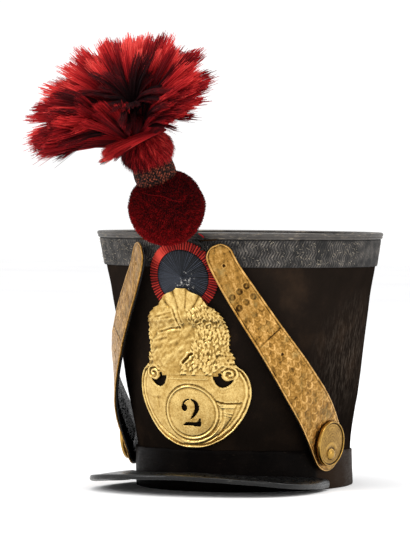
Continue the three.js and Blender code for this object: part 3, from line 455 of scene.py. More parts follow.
def worn_leather(name, dark, light, scuff, grain, gloss, wear, shine=0.5, other=None):
    """Old vegetable-tanned leather, blacked: pores, rubbed grain, fine scratches and pale scuffs."""
    made, tree, shader = new_material(name, IOR=1.45, Specular_IOR_Level=shine)
    place = node(tree, "ShaderNodeTexCoord").outputs["Object"]
    long_way = node(tree, "ShaderNodeMapping", {"Scale": (1, 1, 7)}, {"Vector": place})
    patch = node(tree, "ShaderNodeTexNoise", {"Scale": per(26 * MM), "Detail": 7.0, "Roughness": 0.66},
                 {"Vector": place})
    pores = node(tree, "ShaderNodeTexVoronoi", {"Scale": per(grain)}, {"Vector": place})
    scratch = node(tree, "ShaderNodeTexNoise", {"Scale": per(9 * MM), "Detail": 8.0, "Roughness": 0.75},
                   {"Vector": long_way.outputs[0]})
    base = node(tree, "ShaderNodeValToRGB", None, {"Fac": patch.outputs["Fac"]},
                [(0.32, dark), (0.7, light)])
    worn = node(tree, "ShaderNodeValToRGB", None, {"Fac": scratch.outputs["Fac"]},
                [(wear, (0, 0, 0, 1)), (wear + 0.14, (0.8, 0.8, 0.8, 1))])
    source = base.outputs[0]
    if other:
        part = node(tree, "ShaderNodeAttribute", attribute_name="relief")
        source = node(tree, "ShaderNodeMix", {7: linear(other)}, {0: part.outputs["Fac"], 6: source},
                      data_type="RGBA").outputs[2]
    colour = node(tree, "ShaderNodeMix", {7: linear(scuff)}, {0: worn.outputs[0], 6: source},
                  data_type="RGBA")
    sheen = node(tree, "ShaderNodeMapRange", {"From Min": 0.3, "From Max": 0.7, "To Min": gloss,
                                              "To Max": gloss + 0.26}, {"Value": scratch.outputs["Fac"]})
    both = node(tree, "ShaderNodeMath", {2: 0.4}, {0: pores.outputs["Distance"], 1: scratch.outputs["Fac"]},
                operation="MULTIPLY_ADD")
    bump = node(tree, "ShaderNodeBump", {"Strength": 0.45, "Distance": 0.3 * MM},
                {"Height": both.outputs[0]})
    wire(tree, shader, {"Base Color": colour.outputs[2], "Roughness": sheen.outputs[0],
                        "Normal": bump.outputs[0]})
    return made


def woven_lace():
    """Worsted lace, woven in small waves: grey black, rubbed to pale threads on the high places."""
    made, tree, shader = new_material("woven_worsted_lace", Roughness=0.92)
    place = node(tree, "ShaderNodeTexCoord").outputs["Object"]
    thread = node(tree, "ShaderNodeTexNoise", {"Scale": per(1.5 * MM), "Detail": 5.0, "Roughness": 0.75},
                  {"Vector": place})
    patch = node(tree, "ShaderNodeTexNoise", {"Scale": per(13 * MM), "Detail": 4.0}, {"Vector": place})
    relief = node(tree, "ShaderNodeAttribute", attribute_name="relief")
    high = node(tree, "ShaderNodeMath", None, {0: relief.outputs["Fac"], 1: thread.outputs["Fac"]},
                operation="MULTIPLY")
    base = node(tree, "ShaderNodeValToRGB", None, {"Fac": high.outputs[0]},
                [(0.08, 0x1F1D1C), (0.34, 0x56524E), (0.62, 0x8F8477)])
    dark = node(tree, "ShaderNodeValToRGB", None, {"Fac": patch.outputs["Fac"]},
                [(0.36, 0x7A7A7C), (0.6, 0xFFFFFF)])
    colour = node(tree, "ShaderNodeMix", {0: 1.0}, {6: base.outputs[0], 7: dark.outputs[0]},
                  data_type="RGBA", blend_type="MULTIPLY")
    bump = node(tree, "ShaderNodeBump", {"Strength": 0.6, "Distance": 0.4 * MM},
                {"Height": thread.outputs["Fac"]})
    wire(tree, shader, {"Base Color": colour.outputs[2], "Normal": bump.outputs[0]})
    return made


def stamped_brass(name, bright, mid, tarnish_and_shade, rough, fleck, spots=None):
    """Sheet brass stamped in a die: high places coloured bright, partly polish and partly painted highlight;
    low ones brown, partly tarnish and partly painted shade.
    """
    made, tree, shader = new_material(name, Metallic=1.0)
    place = node(tree, "ShaderNodeTexCoord").outputs["Object"]
    cloud = node(tree, "ShaderNodeTexNoise", {"Scale": per(9 * MM), "Detail": 6.0, "Roughness": 0.65},
                 {"Vector": place})
    grit = node(tree, "ShaderNodeTexNoise", {"Scale": per(fleck), "Detail": 4.0, "Roughness": 0.7},
                {"Vector": place})
    relief = node(tree, "ShaderNodeAttribute", attribute_name="relief")
    tone = node(tree, "ShaderNodeMapRange", {"From Min": 0.35, "From Max": 0.7, "To Min": -0.12,
                                             "To Max": 0.12}, {"Value": cloud.outputs["Fac"]})
    speck = node(tree, "ShaderNodeMapRange", {"From Min": 0.4, "From Max": 0.64, "To Min": -0.1,
                                              "To Max": 0.1}, {"Value": grit.outputs["Fac"]})
    both = node(tree, "ShaderNodeMath", None, {0: tone.outputs[0], 1: speck.outputs[0]}, operation="ADD")
    height = node(tree, "ShaderNodeMath", None, {0: relief.outputs["Fac"], 1: both.outputs[0]},
                  operation="ADD")
    # Colour by relief: dark in the hollows as tarnish and painted shade, bright on the crests as polish and
    # painted highlight.
    colour = node(tree, "ShaderNodeValToRGB", None, {"Fac": height.outputs[0]},
                  [(0.06, tarnish_and_shade), (0.45, mid), (0.85, bright)])
    source = colour.outputs[0]
    if spots:
        patch = node(tree, "ShaderNodeTexNoise", {"Scale": per(14 * MM), "Detail": 5.0, "Roughness": 0.7},
                     {"Vector": place})
        mask = node(tree, "ShaderNodeValToRGB", None, {"Fac": patch.outputs["Fac"]},
                    [(0.54, (0, 0, 0, 1)), (0.7, (0.75, 0.75, 0.75, 1))])
        source = node(tree, "ShaderNodeMix", {7: linear(spots)}, {0: mask.outputs[0], 6: source},
                      data_type="RGBA").outputs[2]
    dull = node(tree, "ShaderNodeMapRange", {"From Min": 0.1, "From Max": 0.8, "To Min": rough + 0.22,
                                             "To Max": rough}, {"Value": height.outputs[0]})
    bump = node(tree, "ShaderNodeBump", {"Strength": 0.35, "Distance": 0.25 * MM},
                {"Height": grit.outputs["Fac"]})
    wire(tree, shader, {"Base Color": source, "Roughness": dull.outputs[0], "Normal": bump.outputs[0]})
    return made


def pleated_cloth(name, valley, middle, ridge, rough, fleck=None):
    """Cloth folded in fine pleats: dark between the folds as painted shade, and light along their crests as
    painted highlight.
    """
    made, tree, shader = new_material(name, Roughness=rough, Specular_IOR_Level=0.2)
    place = node(tree, "ShaderNodeTexCoord").outputs["Object"]
    weave = node(tree, "ShaderNodeTexNoise", {"Scale": per(0.9 * MM), "Detail": 4.0, "Roughness": 0.7},
                 {"Vector": place})
    fold = node(tree, "ShaderNodeAttribute", attribute_name="relief")
    # The fold relief sets the colour: painted shade in the valleys, painted highlight on the crests.
    mixed = node(tree, "ShaderNodeMath", {1: 0.3}, {0: weave.outputs["Fac"], 2: fold.outputs["Fac"]},
                 operation="MULTIPLY_ADD")
    base = node(tree, "ShaderNodeValToRGB", None, {"Fac": mixed.outputs[0]},
                [(0.2, valley), (0.62, middle), (1.0, ridge)])
    source = base.outputs[0]
    if fleck:
        chips = node(tree, "ShaderNodeTexNoise", {"Scale": per(3.2 * MM), "Detail": 6.0, "Roughness": 0.8},
                     {"Vector": place})
        worn = Vector(front(4 * MM, COCKADE_HEIGHT - 3 * MM, COCKADE_BACK).tolist())
        far = node(tree, "ShaderNodeVectorMath", {1: worn}, {0: place}, operation="DISTANCE")
        near = node(tree, "ShaderNodeMapRange", {
            "From Min": 16 * MM, "From Max": 2 * MM, "To Min": -0.1, "To Max": 0.14},
            {"Value": far.outputs["Value"]})
        sum_up = node(tree, "ShaderNodeMath", None, {0: chips.outputs["Fac"], 1: near.outputs[0]},
                      operation="ADD")
        mask = node(tree, "ShaderNodeValToRGB", None, {"Fac": sum_up.outputs[0]},
                    [(0.64, (0, 0, 0, 1)), (0.69, (1, 1, 1, 1))])
        source = node(tree, "ShaderNodeMix", {7: linear(fleck)}, {0: mask.outputs[0], 6: source},
                      data_type="RGBA").outputs[2]
    bump = node(tree, "ShaderNodeBump", {"Strength": 0.4, "Distance": 0.2 * MM},
                {"Height": weave.outputs["Fac"]})
    wire(tree, shader, {"Base Color": source, "Normal": bump.outputs[0]})
    return made


def dyed_hair(name, stops, rough, sheen):
    """Dyed wool or horsehair: each strand has a tone of its own, from near black to clear red."""
    made, tree, shader = new_material(name, Roughness=rough, Sheen_Weight=sheen, Specular_IOR_Level=0.08)
    tone = node(tree, "ShaderNodeAttribute", attribute_name="tone")
    colour = node(tree, "ShaderNodeValToRGB", None, {"Fac": tone.outputs["Fac"]}, stops)
    wire(tree, shader, {"Base Color": colour.outputs[0]})
    return made


def metal_thread_net():
    """Netted dark silk with dulled copper thread: round knots on the slant, rubbed on their tops."""
    made, tree, shader = new_material("silk_and_copper_net", Roughness=0.6, Specular_IOR_Level=0.08)
    place = node(tree, "ShaderNodeTexCoord").outputs["Object"]
    relief = node(tree, "ShaderNodeAttribute", attribute_name="relief")
    fleck = node(tree, "ShaderNodeTexNoise", {"Scale": per(1.6 * MM), "Detail": 3.0}, {"Vector": place})
    # Darker between the knots and lighter on their tops: a painted shade and painted highlight.
    base = node(tree, "ShaderNodeValToRGB", None, {"Fac": relief.outputs["Fac"]},
                [(0.2, 0x030202), (0.85, 0x21130F)])
    mask = node(tree, "ShaderNodeValToRGB", None, {"Fac": fleck.outputs["Fac"]},
                [(0.5, (0, 0, 0, 1)), (0.58, (1, 1, 1, 1))])
    top = node(tree, "ShaderNodeMath", None, {0: mask.outputs[0], 1: relief.outputs["Fac"]},
               operation="MULTIPLY")
    colour = node(tree, "ShaderNodeMix", {7: linear(0x9A4A34)}, {0: top.outputs[0], 6: base.outputs[0]},
                  data_type="RGBA")
    wire(tree, shader, {"Base Color": colour.outputs[2]})
    return made


def matt_paper():
    """Studio background paper: pale, matt and even."""
    made, tree, shader = new_material("matt_background_paper", Roughness=0.95, Specular_IOR_Level=0.1)
    place = node(tree, "ShaderNodeTexCoord").outputs["Object"]
    cloud = node(tree, "ShaderNodeTexNoise", {"Scale": per(0.4), "Detail": 2.0}, {"Vector": place})
    colour = node(tree, "ShaderNodeValToRGB", None, {"Fac": cloud.outputs["Fac"]},
                  [(0.3, 0xF3F3F4), (0.7, 0xF8F8F8)])
    wire(tree, shader, {"Base Color": colour.outputs[0]})
    return made


FELT_FINISH = stiffened_felt()
BASE_LEATHER = worn_leather("blacked_band_leather", 0x020101, 0x0D0907, 0x3A3028, 0.9 * MM, 0.4, 0.6, 0.03,
                            0x2A1D12)
CROWN_LEATHER = worn_leather("blacked_crown_leather", 0x2A2725, 0x4E4A46, 0x9A8E7C, 0.8 * MM, 0.42, 0.54, 0.4)
PEAK_LEATHER_FINISH = worn_leather("blacked_peak_leather", 0x040404, 0x131313, 0x85827C, 0.9 * MM, 0.16, 0.61,
                                   0.3)
LINING_LEATHER = worn_leather("glossy_lining_leather", 0x020202, 0x0B0908, 0x2A2521, 0.7 * MM, 0.16, 0.7,
                              0.25)
LACE = woven_lace()
GILT = stamped_brass("gilt_stamped_brass", 0xE4C680, 0xA98646, 0x4A3614, 0.23, 1.3 * MM)
OLD_BRASS = stamped_brass("rubbed_stamped_brass", 0xE2B470, 0x9E7436, 0x2E1D0B, 0.25, 1.2 * MM, 0x8C7646)
BOSS_BRASS = stamped_brass("dull_turned_brass", 0xB08A44, 0x785A26, 0x2A1C0A, 0.24, 1.6 * MM)
RED_CLOTH = pleated_cloth("pleated_scarlet_wool", 0x1C0203, 0x8A1A15, 0xD9483A, 0.95)
DARK_CLOTH = pleated_cloth("pleated_blue_black_leather", 0x010102, 0x0B0D11, 0x424753, 0.6, 0xC9C6C0)
BLACK_CLOTH = pleated_cloth("black_linen", 0x050505, 0x12100F, 0x25211E, 0.8)
POMPOM_WOOL = dyed_hair("sheared_maroon_wool", [(0.0, 0x1C0204), (0.55, 0x5C0507), (1.0, 0xA01216)], 0.9, 0.0)
PLUME_HAIR = dyed_hair("dyed_crimson_horsehair", [(0.0, 0x0E0103), (0.3, 0x4E040A), (0.55, 0x8E0F15),
                                                  (0.8, 0xC92A2A), (1.0, 0xE6524A)], 0.6, 0.0)
NET = metal_thread_net()
LACE_THREAD = dyed_hair("loose_linen_thread", [(0.0, 0x6F675C), (1.0, 0xC9BDA6)], 0.8, 0.2)


# Geometry node trees

def new_tree(name, sizes):
    """A geometry tree with named inputs for its sizes. Returns the tree and its input and output."""
    tree = bpy.data.node_groups.new(name, "GeometryNodeTree")
    tree.interface.new_socket("Geometry", in_out="INPUT", socket_type="NodeSocketGeometry")
    for label, (kind, value) in sizes.items():
        socket = tree.interface.new_socket(label, in_out="INPUT", socket_type=f"NodeSocket{kind}")
        socket.default_value = value
    tree.interface.new_socket("Geometry", in_out="OUTPUT", socket_type="NodeSocketGeometry")
    return tree, node(tree, "NodeGroupInput"), node(tree, "NodeGroupOutput")


def grow(piece, tree, sizes):
    """Runs a geometry tree with these sizes on a piece and keeps the result as a plain mesh."""
    modifier = piece.modifiers.new(tree.name, "NODES")
    modifier.node_group = tree
    for item in tree.interface.items_tree:
        if item.in_out == "INPUT" and item.name in sizes:
            modifier[item.identifier] = sizes[item.name]
    return with_modifiers(piece)


def end_tree(tree, end, geometry, material):
    """Turns the tree's instances into real mesh with a material on it."""
    real = node(tree, "GeometryNodeRealizeInstances", None, {"Geometry": geometry})
    finished = node(tree, "GeometryNodeSetMaterial", {"Material": material}, {"Geometry": real.outputs[0]})
    tree.links.new(finished.outputs[0], end.inputs[0])


def pile_tree(name, material, keep_ground=True):
    """Short hairs that stand on a surface, leaning at random."""
    tree, start, end = new_tree(name, {
        "Density": ("Float", 1.0e6), "Length": ("Float", 2 * MM), "Thickness": ("Float", 0.3 * MM),
        "Lean": ("Float", 0.5), "Comb": ("Float", 0.0), "Comb Way": ("Vector", (0.0, 0.0, 1.0)),
        "Seed": ("Int", SEED)})
    spots = node(tree, "GeometryNodeDistributePointsOnFaces", None, {
        "Mesh": start.outputs["Geometry"], "Density": start.outputs["Density"],
        "Seed": start.outputs["Seed"]})
    hair = node(tree, "GeometryNodeMeshCone", {"Vertices": 3, "Radius Top": 0.0}, {
        "Radius Bottom": start.outputs["Thickness"], "Depth": start.outputs["Length"]}, fill_type="NONE")
    most = node(tree, "ShaderNodeCombineXYZ", {"Z": math.pi}, {
        "X": start.outputs["Lean"], "Y": start.outputs["Lean"]})
    least = node(tree, "ShaderNodeVectorMath", {"Scale": -1.0}, {0: most.outputs[0]}, operation="SCALE")
    lean = node(tree, "FunctionNodeRandomValue", None, {
        "Min": least.outputs[0], "Max": most.outputs[0], "Seed": start.outputs["Seed"]},
        data_type="FLOAT_VECTOR")
    turned = node(tree, "FunctionNodeRotateRotation", None, {
        "Rotation": spots.outputs["Rotation"], "Rotate By": lean.outputs[0]}, rotation_space="LOCAL")
    combed = node(tree, "FunctionNodeAlignRotationToVector", None, {
        "Rotation": turned.outputs[0], "Vector": start.outputs["Comb Way"], "Factor": start.outputs["Comb"]},
        axis="Z")
    size = node(tree, "FunctionNodeRandomValue", {2: 0.65, 3: 1.2, "Seed": SEED + 1}, data_type="FLOAT")
    planted = node(tree, "GeometryNodeInstanceOnPoints", None, {
        "Points": spots.outputs["Points"], "Instance": hair.outputs["Mesh"],
        "Rotation": combed.outputs[0], "Scale": size.outputs[1]})
    shade = node(tree, "FunctionNodeRandomValue", {2: 0.0, 3: 1.0, "Seed": SEED + 2}, data_type="FLOAT")
    toned = node(tree, "GeometryNodeStoreNamedAttribute", {"Name": "tone"}, {
        "Geometry": planted.outputs[0], "Value": shade.outputs[1]}, data_type="FLOAT", domain="INSTANCE")
    source = toned.outputs[0]
    if keep_ground:
        joined = node(tree, "GeometryNodeJoinGeometry")
        tree.links.new(start.outputs["Geometry"], joined.inputs[0])
        tree.links.new(source, joined.inputs[0])
        source = joined.outputs[0]
    end_tree(tree, end, source, material)
    return tree


def lock_tree(name, material, locks):
    """Locks on points that say which way each goes, which way it bends, its length and its tone."""
    tree, start, end = new_tree(name, {"Seed": ("Int", SEED)})
    joined = node(tree, "GeometryNodeJoinGeometry")
    for lock_shape in locks:
        shape = node(tree, "GeometryNodeObjectInfo", {"Object": lock_shape})
        single = node(tree, "GeometryNodeGeometryToInstance", None, {0: shape.outputs["Geometry"]})
        tree.links.new(single.outputs[0], joined.inputs[0])
    way = node(tree, "GeometryNodeInputNamedAttribute", {"Name": "way"}, data_type="FLOAT_VECTOR")
    down = node(tree, "GeometryNodeInputNamedAttribute", {"Name": "down"}, data_type="FLOAT_VECTOR")
    long = node(tree, "GeometryNodeInputNamedAttribute", {"Name": "long"}, data_type="FLOAT")
    shade = node(tree, "GeometryNodeInputNamedAttribute", {"Name": "shade"}, data_type="FLOAT")
    aimed = node(tree, "FunctionNodeAlignRotationToVector", None, {"Vector": way.outputs[0]}, axis="Z")
    turned = node(tree, "FunctionNodeAlignRotationToVector", None, {
        "Rotation": aimed.outputs[0], "Vector": down.outputs[0]}, axis="Y", pivot_axis="Z")
    pick = node(tree, "FunctionNodeRandomValue", {4: 0, 5: len(locks) - 1},
                {"Seed": start.outputs["Seed"]}, data_type="INT")
    planted = node(tree, "GeometryNodeInstanceOnPoints", {"Pick Instance": True}, {
        "Points": start.outputs["Geometry"], "Instance": joined.outputs[0],
        "Instance Index": pick.outputs[2], "Rotation": turned.outputs[0], "Scale": long.outputs[0]})
    kept = node(tree, "GeometryNodeStoreNamedAttribute", {"Name": "lock_tone"}, {
        "Geometry": planted.outputs[0], "Value": shade.outputs[0]}, data_type="FLOAT", domain="INSTANCE")
    end_tree(tree, end, kept.outputs[0], material)
    return tree


# The hat's body

def felt_body():
    outside = [(0.0, 0.0), (0.0, FELT_HEIGHT)]
    section = outside + [(-FELT_WALL, FELT_HEIGHT), (-FELT_WALL, 0.0)]
    made = oval_object("felt_wall", lambda angle: section, 6 * MM, FELT_FINISH, BAND_STEPS, 0.25 * MM)
    return into_object(made, "felt", "felt_body")


def seam_height(angle):
    return BASE_BAND_HEIGHT + BASE_BAND_SLOPE * math.cos(angle)


def base_band():
    def section(angle):
        seam = seam_height(angle) + 0.35 * MM * math.sin(angle * 23) * math.sin(angle * 7)
        past = (math.degrees(angle) - BAND_JOINT) / 3
        face = BASE_BAND_FACE - 0.5 * MM * min(1, max(0, past)) * (past < 25) * (past > 0)
        return [(CLEARANCE, 0), (face - 0.9 * MM, 0), (face - 0.3 * MM, 0.5 * MM), (face, 1.8 * MM),
                (face, seam - 1.1 * MM), (face - 0.5 * MM, seam), (CLEARANCE, seam)]
    made = oval_object("base_band_leather", section, 2.2 * MM, BASE_LEATHER, BAND_STEPS, 0.2 * MM)
    places = np.array([v.co for v in made.data.vertices])
    angle = np.degrees(np.arctan2(places[:, 0] / HEAD_HALF_WIDTH, -places[:, 1] / HEAD_HALF_LENGTH))
    brown = np.clip((angle - BAND_JOINT) / 3, 0, 1) * np.clip((150 - angle) / 30, 0, 1)
    write_layer(made.data, "relief", 0.75 * brown)
    return into_object(made, "base_leather", "base_band")


def crown_ring():
    inner, outer = CLEARANCE, CROWN_RING_PROUD
    foot, top = CROWN_RING_FOOT, CROWN_RING_TOP
    face = FELT_HEIGHT + 2.6 * MM
    section = [(inner, foot), (outer - 0.9 * MM, foot), (outer - 0.2 * MM, foot + 0.8 * MM),
               (outer, foot + 1.6 * MM), (outer - 0.7 * MM, foot + 2.0 * MM), (outer, foot + 2.5 * MM),
               (outer, top - 1.4 * MM), (outer - 0.5 * MM, top - 0.4 * MM), (outer - 1.5 * MM, top),
               (inner - CROWN_RING_LIP, top - 0.6 * MM), (inner - CROWN_RING_LIP, face), (inner, face)]
    made = oval_object("crown_ring_leather", lambda angle: section, 1.1 * MM, CROWN_LEATHER, BAND_STEPS,
                       0.18 * MM)
    return into_object(made, "crown_leather", "crown_ring")


def crown_top():
    """The crown's leather disc, sunk a little in the middle, with its underside."""
    angles = full_turn(140)
    shares = np.linspace(0.01, 1, 22)
    rim = wall(angles, FELT_HEIGHT, -FELT_WALL * 0.2)
    middle = np.array((0, -CROWN_LEAN, FELT_HEIGHT))
    faces = []
    for thickness, way in ((2.0 * MM, shares), (0.0, shares[::-1])):
        disc = middle + (rim[:, None] - middle) * way[None, :, None]
        sag = 2.0 * MM * (1 - way**2)
        ripple = wobble(disc, 55 * MM, 5) * 0.4 * MM * (1 - way**2)
        disc[..., 2] = FELT_HEIGHT + CLEARANCE + thickness - sag[None] + ripple
        faces.append(disc)
    made = grid_object("crown_top_leather", np.concatenate(faces, 1), CROWN_LEATHER, round_u=True, caps=True)
    return into_object(made, "crown_leather", "crown_top")


def galon():
    """The lace under the crown, with its woven waves as real relief."""
    angles = full_turn(900)
    heights = np.linspace(GALON_LOW, GALON_TOP, 24)
    round_way = angles[:, None] * (CROWN_HALF_WIDTH + CROWN_HALF_LENGTH) / 2
    wave = np.abs(((heights[None] / GALON_WAVE_HEIGHT) % 2) - 1) * GALON_WEAVE
    uneven = wobble(np.stack(np.broadcast_arrays(round_way, heights[None], 0.0), -1), 9 * MM, 17)
    rib = 0.5 + 0.5 * np.sin(2 * math.pi * (round_way + wave) / GALON_WEAVE + 0.9 * uneven)
    rib = rib * np.clip(0.8 + 0.35 * uneven, 0.2, 1)
    edge = np.clip(np.minimum(heights - GALON_LOW, GALON_TOP - heights) / (1.0 * MM), 0, 1)
    relief = rib * (0.35 + 0.65 * edge[None])
    proud = GALON_FACE - 0.5 * MM + 0.5 * MM * relief * edge[None]
    outside = wall(angles[:, None], heights[None], proud)
    inside = wall(angles[:, None], np.array([[GALON_TOP, GALON_LOW]]), CLEARANCE)
    relief = np.concatenate([relief, np.zeros((len(angles), 2))], 1)
    made = grid_object("galon_lace", np.concatenate([outside, inside], 1), LACE, True, True,
                       layers={"relief": relief})
    return into_object(made, "galon", "galon_band")


def galon_fibres():
    """Loose pale threads that stand off the lace where it is rubbed."""
    angles = np.linspace(math.radians(-60), math.radians(80), 80)
    heights = np.linspace(GALON_LOW + 2 * MM, GALON_TOP - 0.6 * MM, 6)
    ground = grid_object("galon_threads", wall(angles[:, None], heights[None], GALON_FACE), LACE_THREAD)
    tree = pile_tree("loose_threads", LACE_THREAD, keep_ground=False)
    grow(ground, tree, {"Density": 6.5e4, "Length": 3.2 * MM, "Thickness": 0.16 * MM, "Lean": 1.4,
                        "Seed": SEED + 5})
    return into_object(ground, "galon")


def peak():
    """The peak: leather drawn out to a flat crescent with a rolled edge behind a sewn groove."""
    loops = []
    for along in np.linspace(-1, 1, 65):
        away = abs(along)
        high = PEAK_JOINT_HEIGHT * float(smooth(PEAK, "along", away, "joint"))
        low = PEAK_FRONT_HEIGHT * float(smooth(PEAK, "along", away, "edge"))
        joint = wall(along * PEAK_END, high, BASE_BAND_FACE + CLEARANCE)
        side = PEAK_HALF_WIDTH * float(smooth(PEAK, "along", away, "side")) * np.sign(along)
        reach_y = -PEAK_REACH * float(smooth(PEAK, "along", away, "front"))
        run = np.array((side - joint[0], reach_y - joint[1]))
        reach = float(np.hypot(*run))
        run = run / reach
        top = low + PEAK_EDGE_THICKNESS
        rim = min(PEAK_EDGE_WIDTH, reach * 0.45)
        fall = (top - 0.7 * MM - high) / reach
        section = [(0, high), (reach * 0.25, high + fall * reach * 0.25 + 0.6 * MM),
                   (reach * 0.5, high + fall * reach * 0.5 + 0.8 * MM),
                   (reach * 0.75, high + fall * reach * 0.75 + 0.5 * MM),
                   (reach - rim * 1.25, high + fall * (reach - rim * 1.25)),
                   (reach - rim, top - 1.1 * MM), (reach - rim * 0.82, top - 0.2 * MM),
                   (reach - rim * 0.5, top), (reach - rim * 0.2, top - 0.3 * MM),
                   (reach, top - PEAK_EDGE_THICKNESS * 0.45), (reach - rim * 0.2, top - PEAK_EDGE_THICKNESS),
                   (reach - rim, top - PEAK_EDGE_THICKNESS + 0.3 * MM),
                   (reach * 0.5, high + fall * reach * 0.5 + 0.8 * MM - PEAK_LEATHER),
                   (0, high - PEAK_LEATHER)]
        loops.append([(joint[0] + run[0] * d, joint[1] + run[1] * d, h) for d, h in section])
    points = np.array(loops)
    points[..., 2] += wobble(points, 45 * MM, 8) * 0.3 * MM
    made = grid_object("peak_leather", points, PEAK_LEATHER_FINISH, round_v=True, caps=True)
    made.modifiers.new("smooth", "SUBSURF").levels = 2
    made.modifiers["smooth"].render_levels = 2
    with_modifiers(made)
    return into_object(made, "peak_leather", "peak")


# The stamped plate

def near_line(x, z, line, closed=False):
    """The distance of each place from a line of points, and the share of the line where it is nearest."""
    line = np.asarray(line, float)
    ends = np.roll(line, -1, 0) if closed else line[1:]
    starts = line if closed else line[:-1]
    best = np.full(x.shape, 1e9)
    share = np.zeros(x.shape)
    for k, ((ax, az), (bx, bz)) in enumerate(zip(starts, ends)):
        dx, dz = bx - ax, bz - az
        t = np.clip(((x - ax) * dx + (z - az) * dz) / max(dx * dx + dz * dz, 1e-12), 0, 1)
        away = np.hypot(x - ax - t * dx, z - az - t * dz)
        closer = away < best
        best = np.where(closer, away, best)
        share = np.where(closer, (k + t) / len(starts), share)
    return best, share


def inside(x, z, outline):
    """Which places lie inside a closed outline."""
    hit = np.zeros(x.shape, bool)
    for (ax, az), (bx, bz) in zip(outline, np.roll(outline, -1, 0)):
        crosses = (az > z) != (bz > z)
        if az != bz:
            hit ^= crosses & (x < (bx - ax) * (z - az) / (bz - az) + ax)
    return hit


def ridge(away, half, rise):
    """A half-round rib, from the distance to its middle line."""
    return rise * np.sqrt(np.clip(1 - (away / half) ** 2, 0, 1))


def numeral_outlines(middle):
    """The stencil numeral: a hook, a bowl and a foot."""
    hook = [(-0.03, 1), (-0.2, 0.98), (-0.36, 0.9), (-0.47, 0.76), (-0.49, 0.66), (-0.44, 0.58),
            (-0.34, 0.54), (-0.24, 0.56), (-0.17, 0.63), (-0.17, 0.71), (-0.23, 0.78), (-0.32, 0.8),
            (-0.3, 0.86), (-0.2, 0.93), (-0.03, 0.96)]
    bowl = [(0.05, 1), (0.24, 0.96), (0.4, 0.86), (0.46, 0.72), (0.42, 0.58), (0.3, 0.45), (0.1, 0.31),
            (-0.08, 0.22), (0.02, 0.35), (0.13, 0.48), (0.2, 0.62), (0.22, 0.76), (0.17, 0.88), (0.05, 0.95)]
    foot = [(-0.5, 0.02), (-0.24, 0.15), (0.26, 0.15), (0.36, 0.19), (0.4, 0.27), (0.5, 0.28), (0.47, 0)]
    return [np.array([(x * NUMERAL_WIDTH, middle + (z - 0.5) * NUMERAL_HEIGHT) for x, z in shape])
            for shape in (hook, bowl, foot)]


def leaf_field(x, z, leaves):
    """The highest of many small pointed leaves at each place."""
    height = np.zeros(x.shape)
    for cx, cz, turn, long, wide, rise in leaves:
        spot = (np.abs(x - cx) < long) & (np.abs(z - cz) < long)
        dx, dz = x[spot] - cx, z[spot] - cz
        along = (dx * math.cos(turn) + dz * math.sin(turn)) / long
        across = (-dx * math.sin(turn) + dz * math.cos(turn)) / wide
        body = 1 - along**2 - np.abs(across) ** 1.4 / np.maximum(0.25, 1 - np.abs(along))
        rib = 0.25 * np.exp(-((across / 0.16) ** 2))
        lift = rise * (np.sqrt(np.clip(body, 0, 1)) * (0.8 + 0.35 * along) - rib * (body > 0))
        height[spot] = np.maximum(height[spot], lift)
    return height


def plate_leaves(rng):
    """Middle, way, length, width and rise of each leaf of the wreath, thicker on the wearer's left."""
    leaves = []
    for row in range(32):
        up = 0.545 + 0.36 * row / 31
        rim = float(smooth(PLATE_OUTLINE, "up", up, "side")) * PLATE_SIDE
        for sign in (-1, 1):
            for lane in range(2):
                out = rim - 1.2 - lane * 2.8 + rng.uniform(-0.6, 0.6)
                lean = math.radians(36 + 40 * (up - 0.55) / 0.36 + rng.uniform(-20, 20))
                turn = lean if sign > 0 else math.pi - lean
                leaves.append((sign * out, up * PLATE_TALL + rng.uniform(-1.2, 1.2), turn,
                               rng.uniform(2.2, 3.4), rng.uniform(0.8, 1.25), rng.uniform(0.8, 1.4)))
    for _ in range(430):
        up = rng.uniform(0.5, 0.9)
        rim = float(smooth(PLATE_OUTLINE, "up", up, "side")) * PLATE_SIDE
        x = rng.uniform(4, rim - 3)
        turn = math.radians(rng.uniform(30, 120) - 1.2 * (x - 20))
        leaves.append((x, up * PLATE_TALL, turn, rng.uniform(1.9, 3.3), rng.uniform(0.65, 1.1),
                       rng.uniform(0.7, 1.5)))
    for _ in range(60):
        x = rng.uniform(-6, 37)
        leaves.append((x, rng.uniform(60.5, 76) + max(0, x - 20) * 0.1,
                       rng.uniform(-2.9, -2.2) + rng.uniform(0, 0.5), rng.uniform(2.6, 4.4),
                       rng.uniform(0.9, 1.5), rng.uniform(0.8, 1.4)))
    for k in range(13):
        leaves.append((27 + k * 0.9, 68 + (k % 4) * 3.4, rng.uniform(-0.5, 0.5), rng.uniform(4, 5.6),
                       rng.uniform(1.1, 1.6), rng.uniform(1.0, 1.5)))
    for _ in range(22):
        leaves.append((rng.uniform(-36, -20), rng.uniform(61, 76), rng.uniform(2.2, 3.4),
                       rng.uniform(3.4, 5.2), rng.uniform(1.4, 2.2), rng.uniform(0.5, 0.9)))
    return leaves


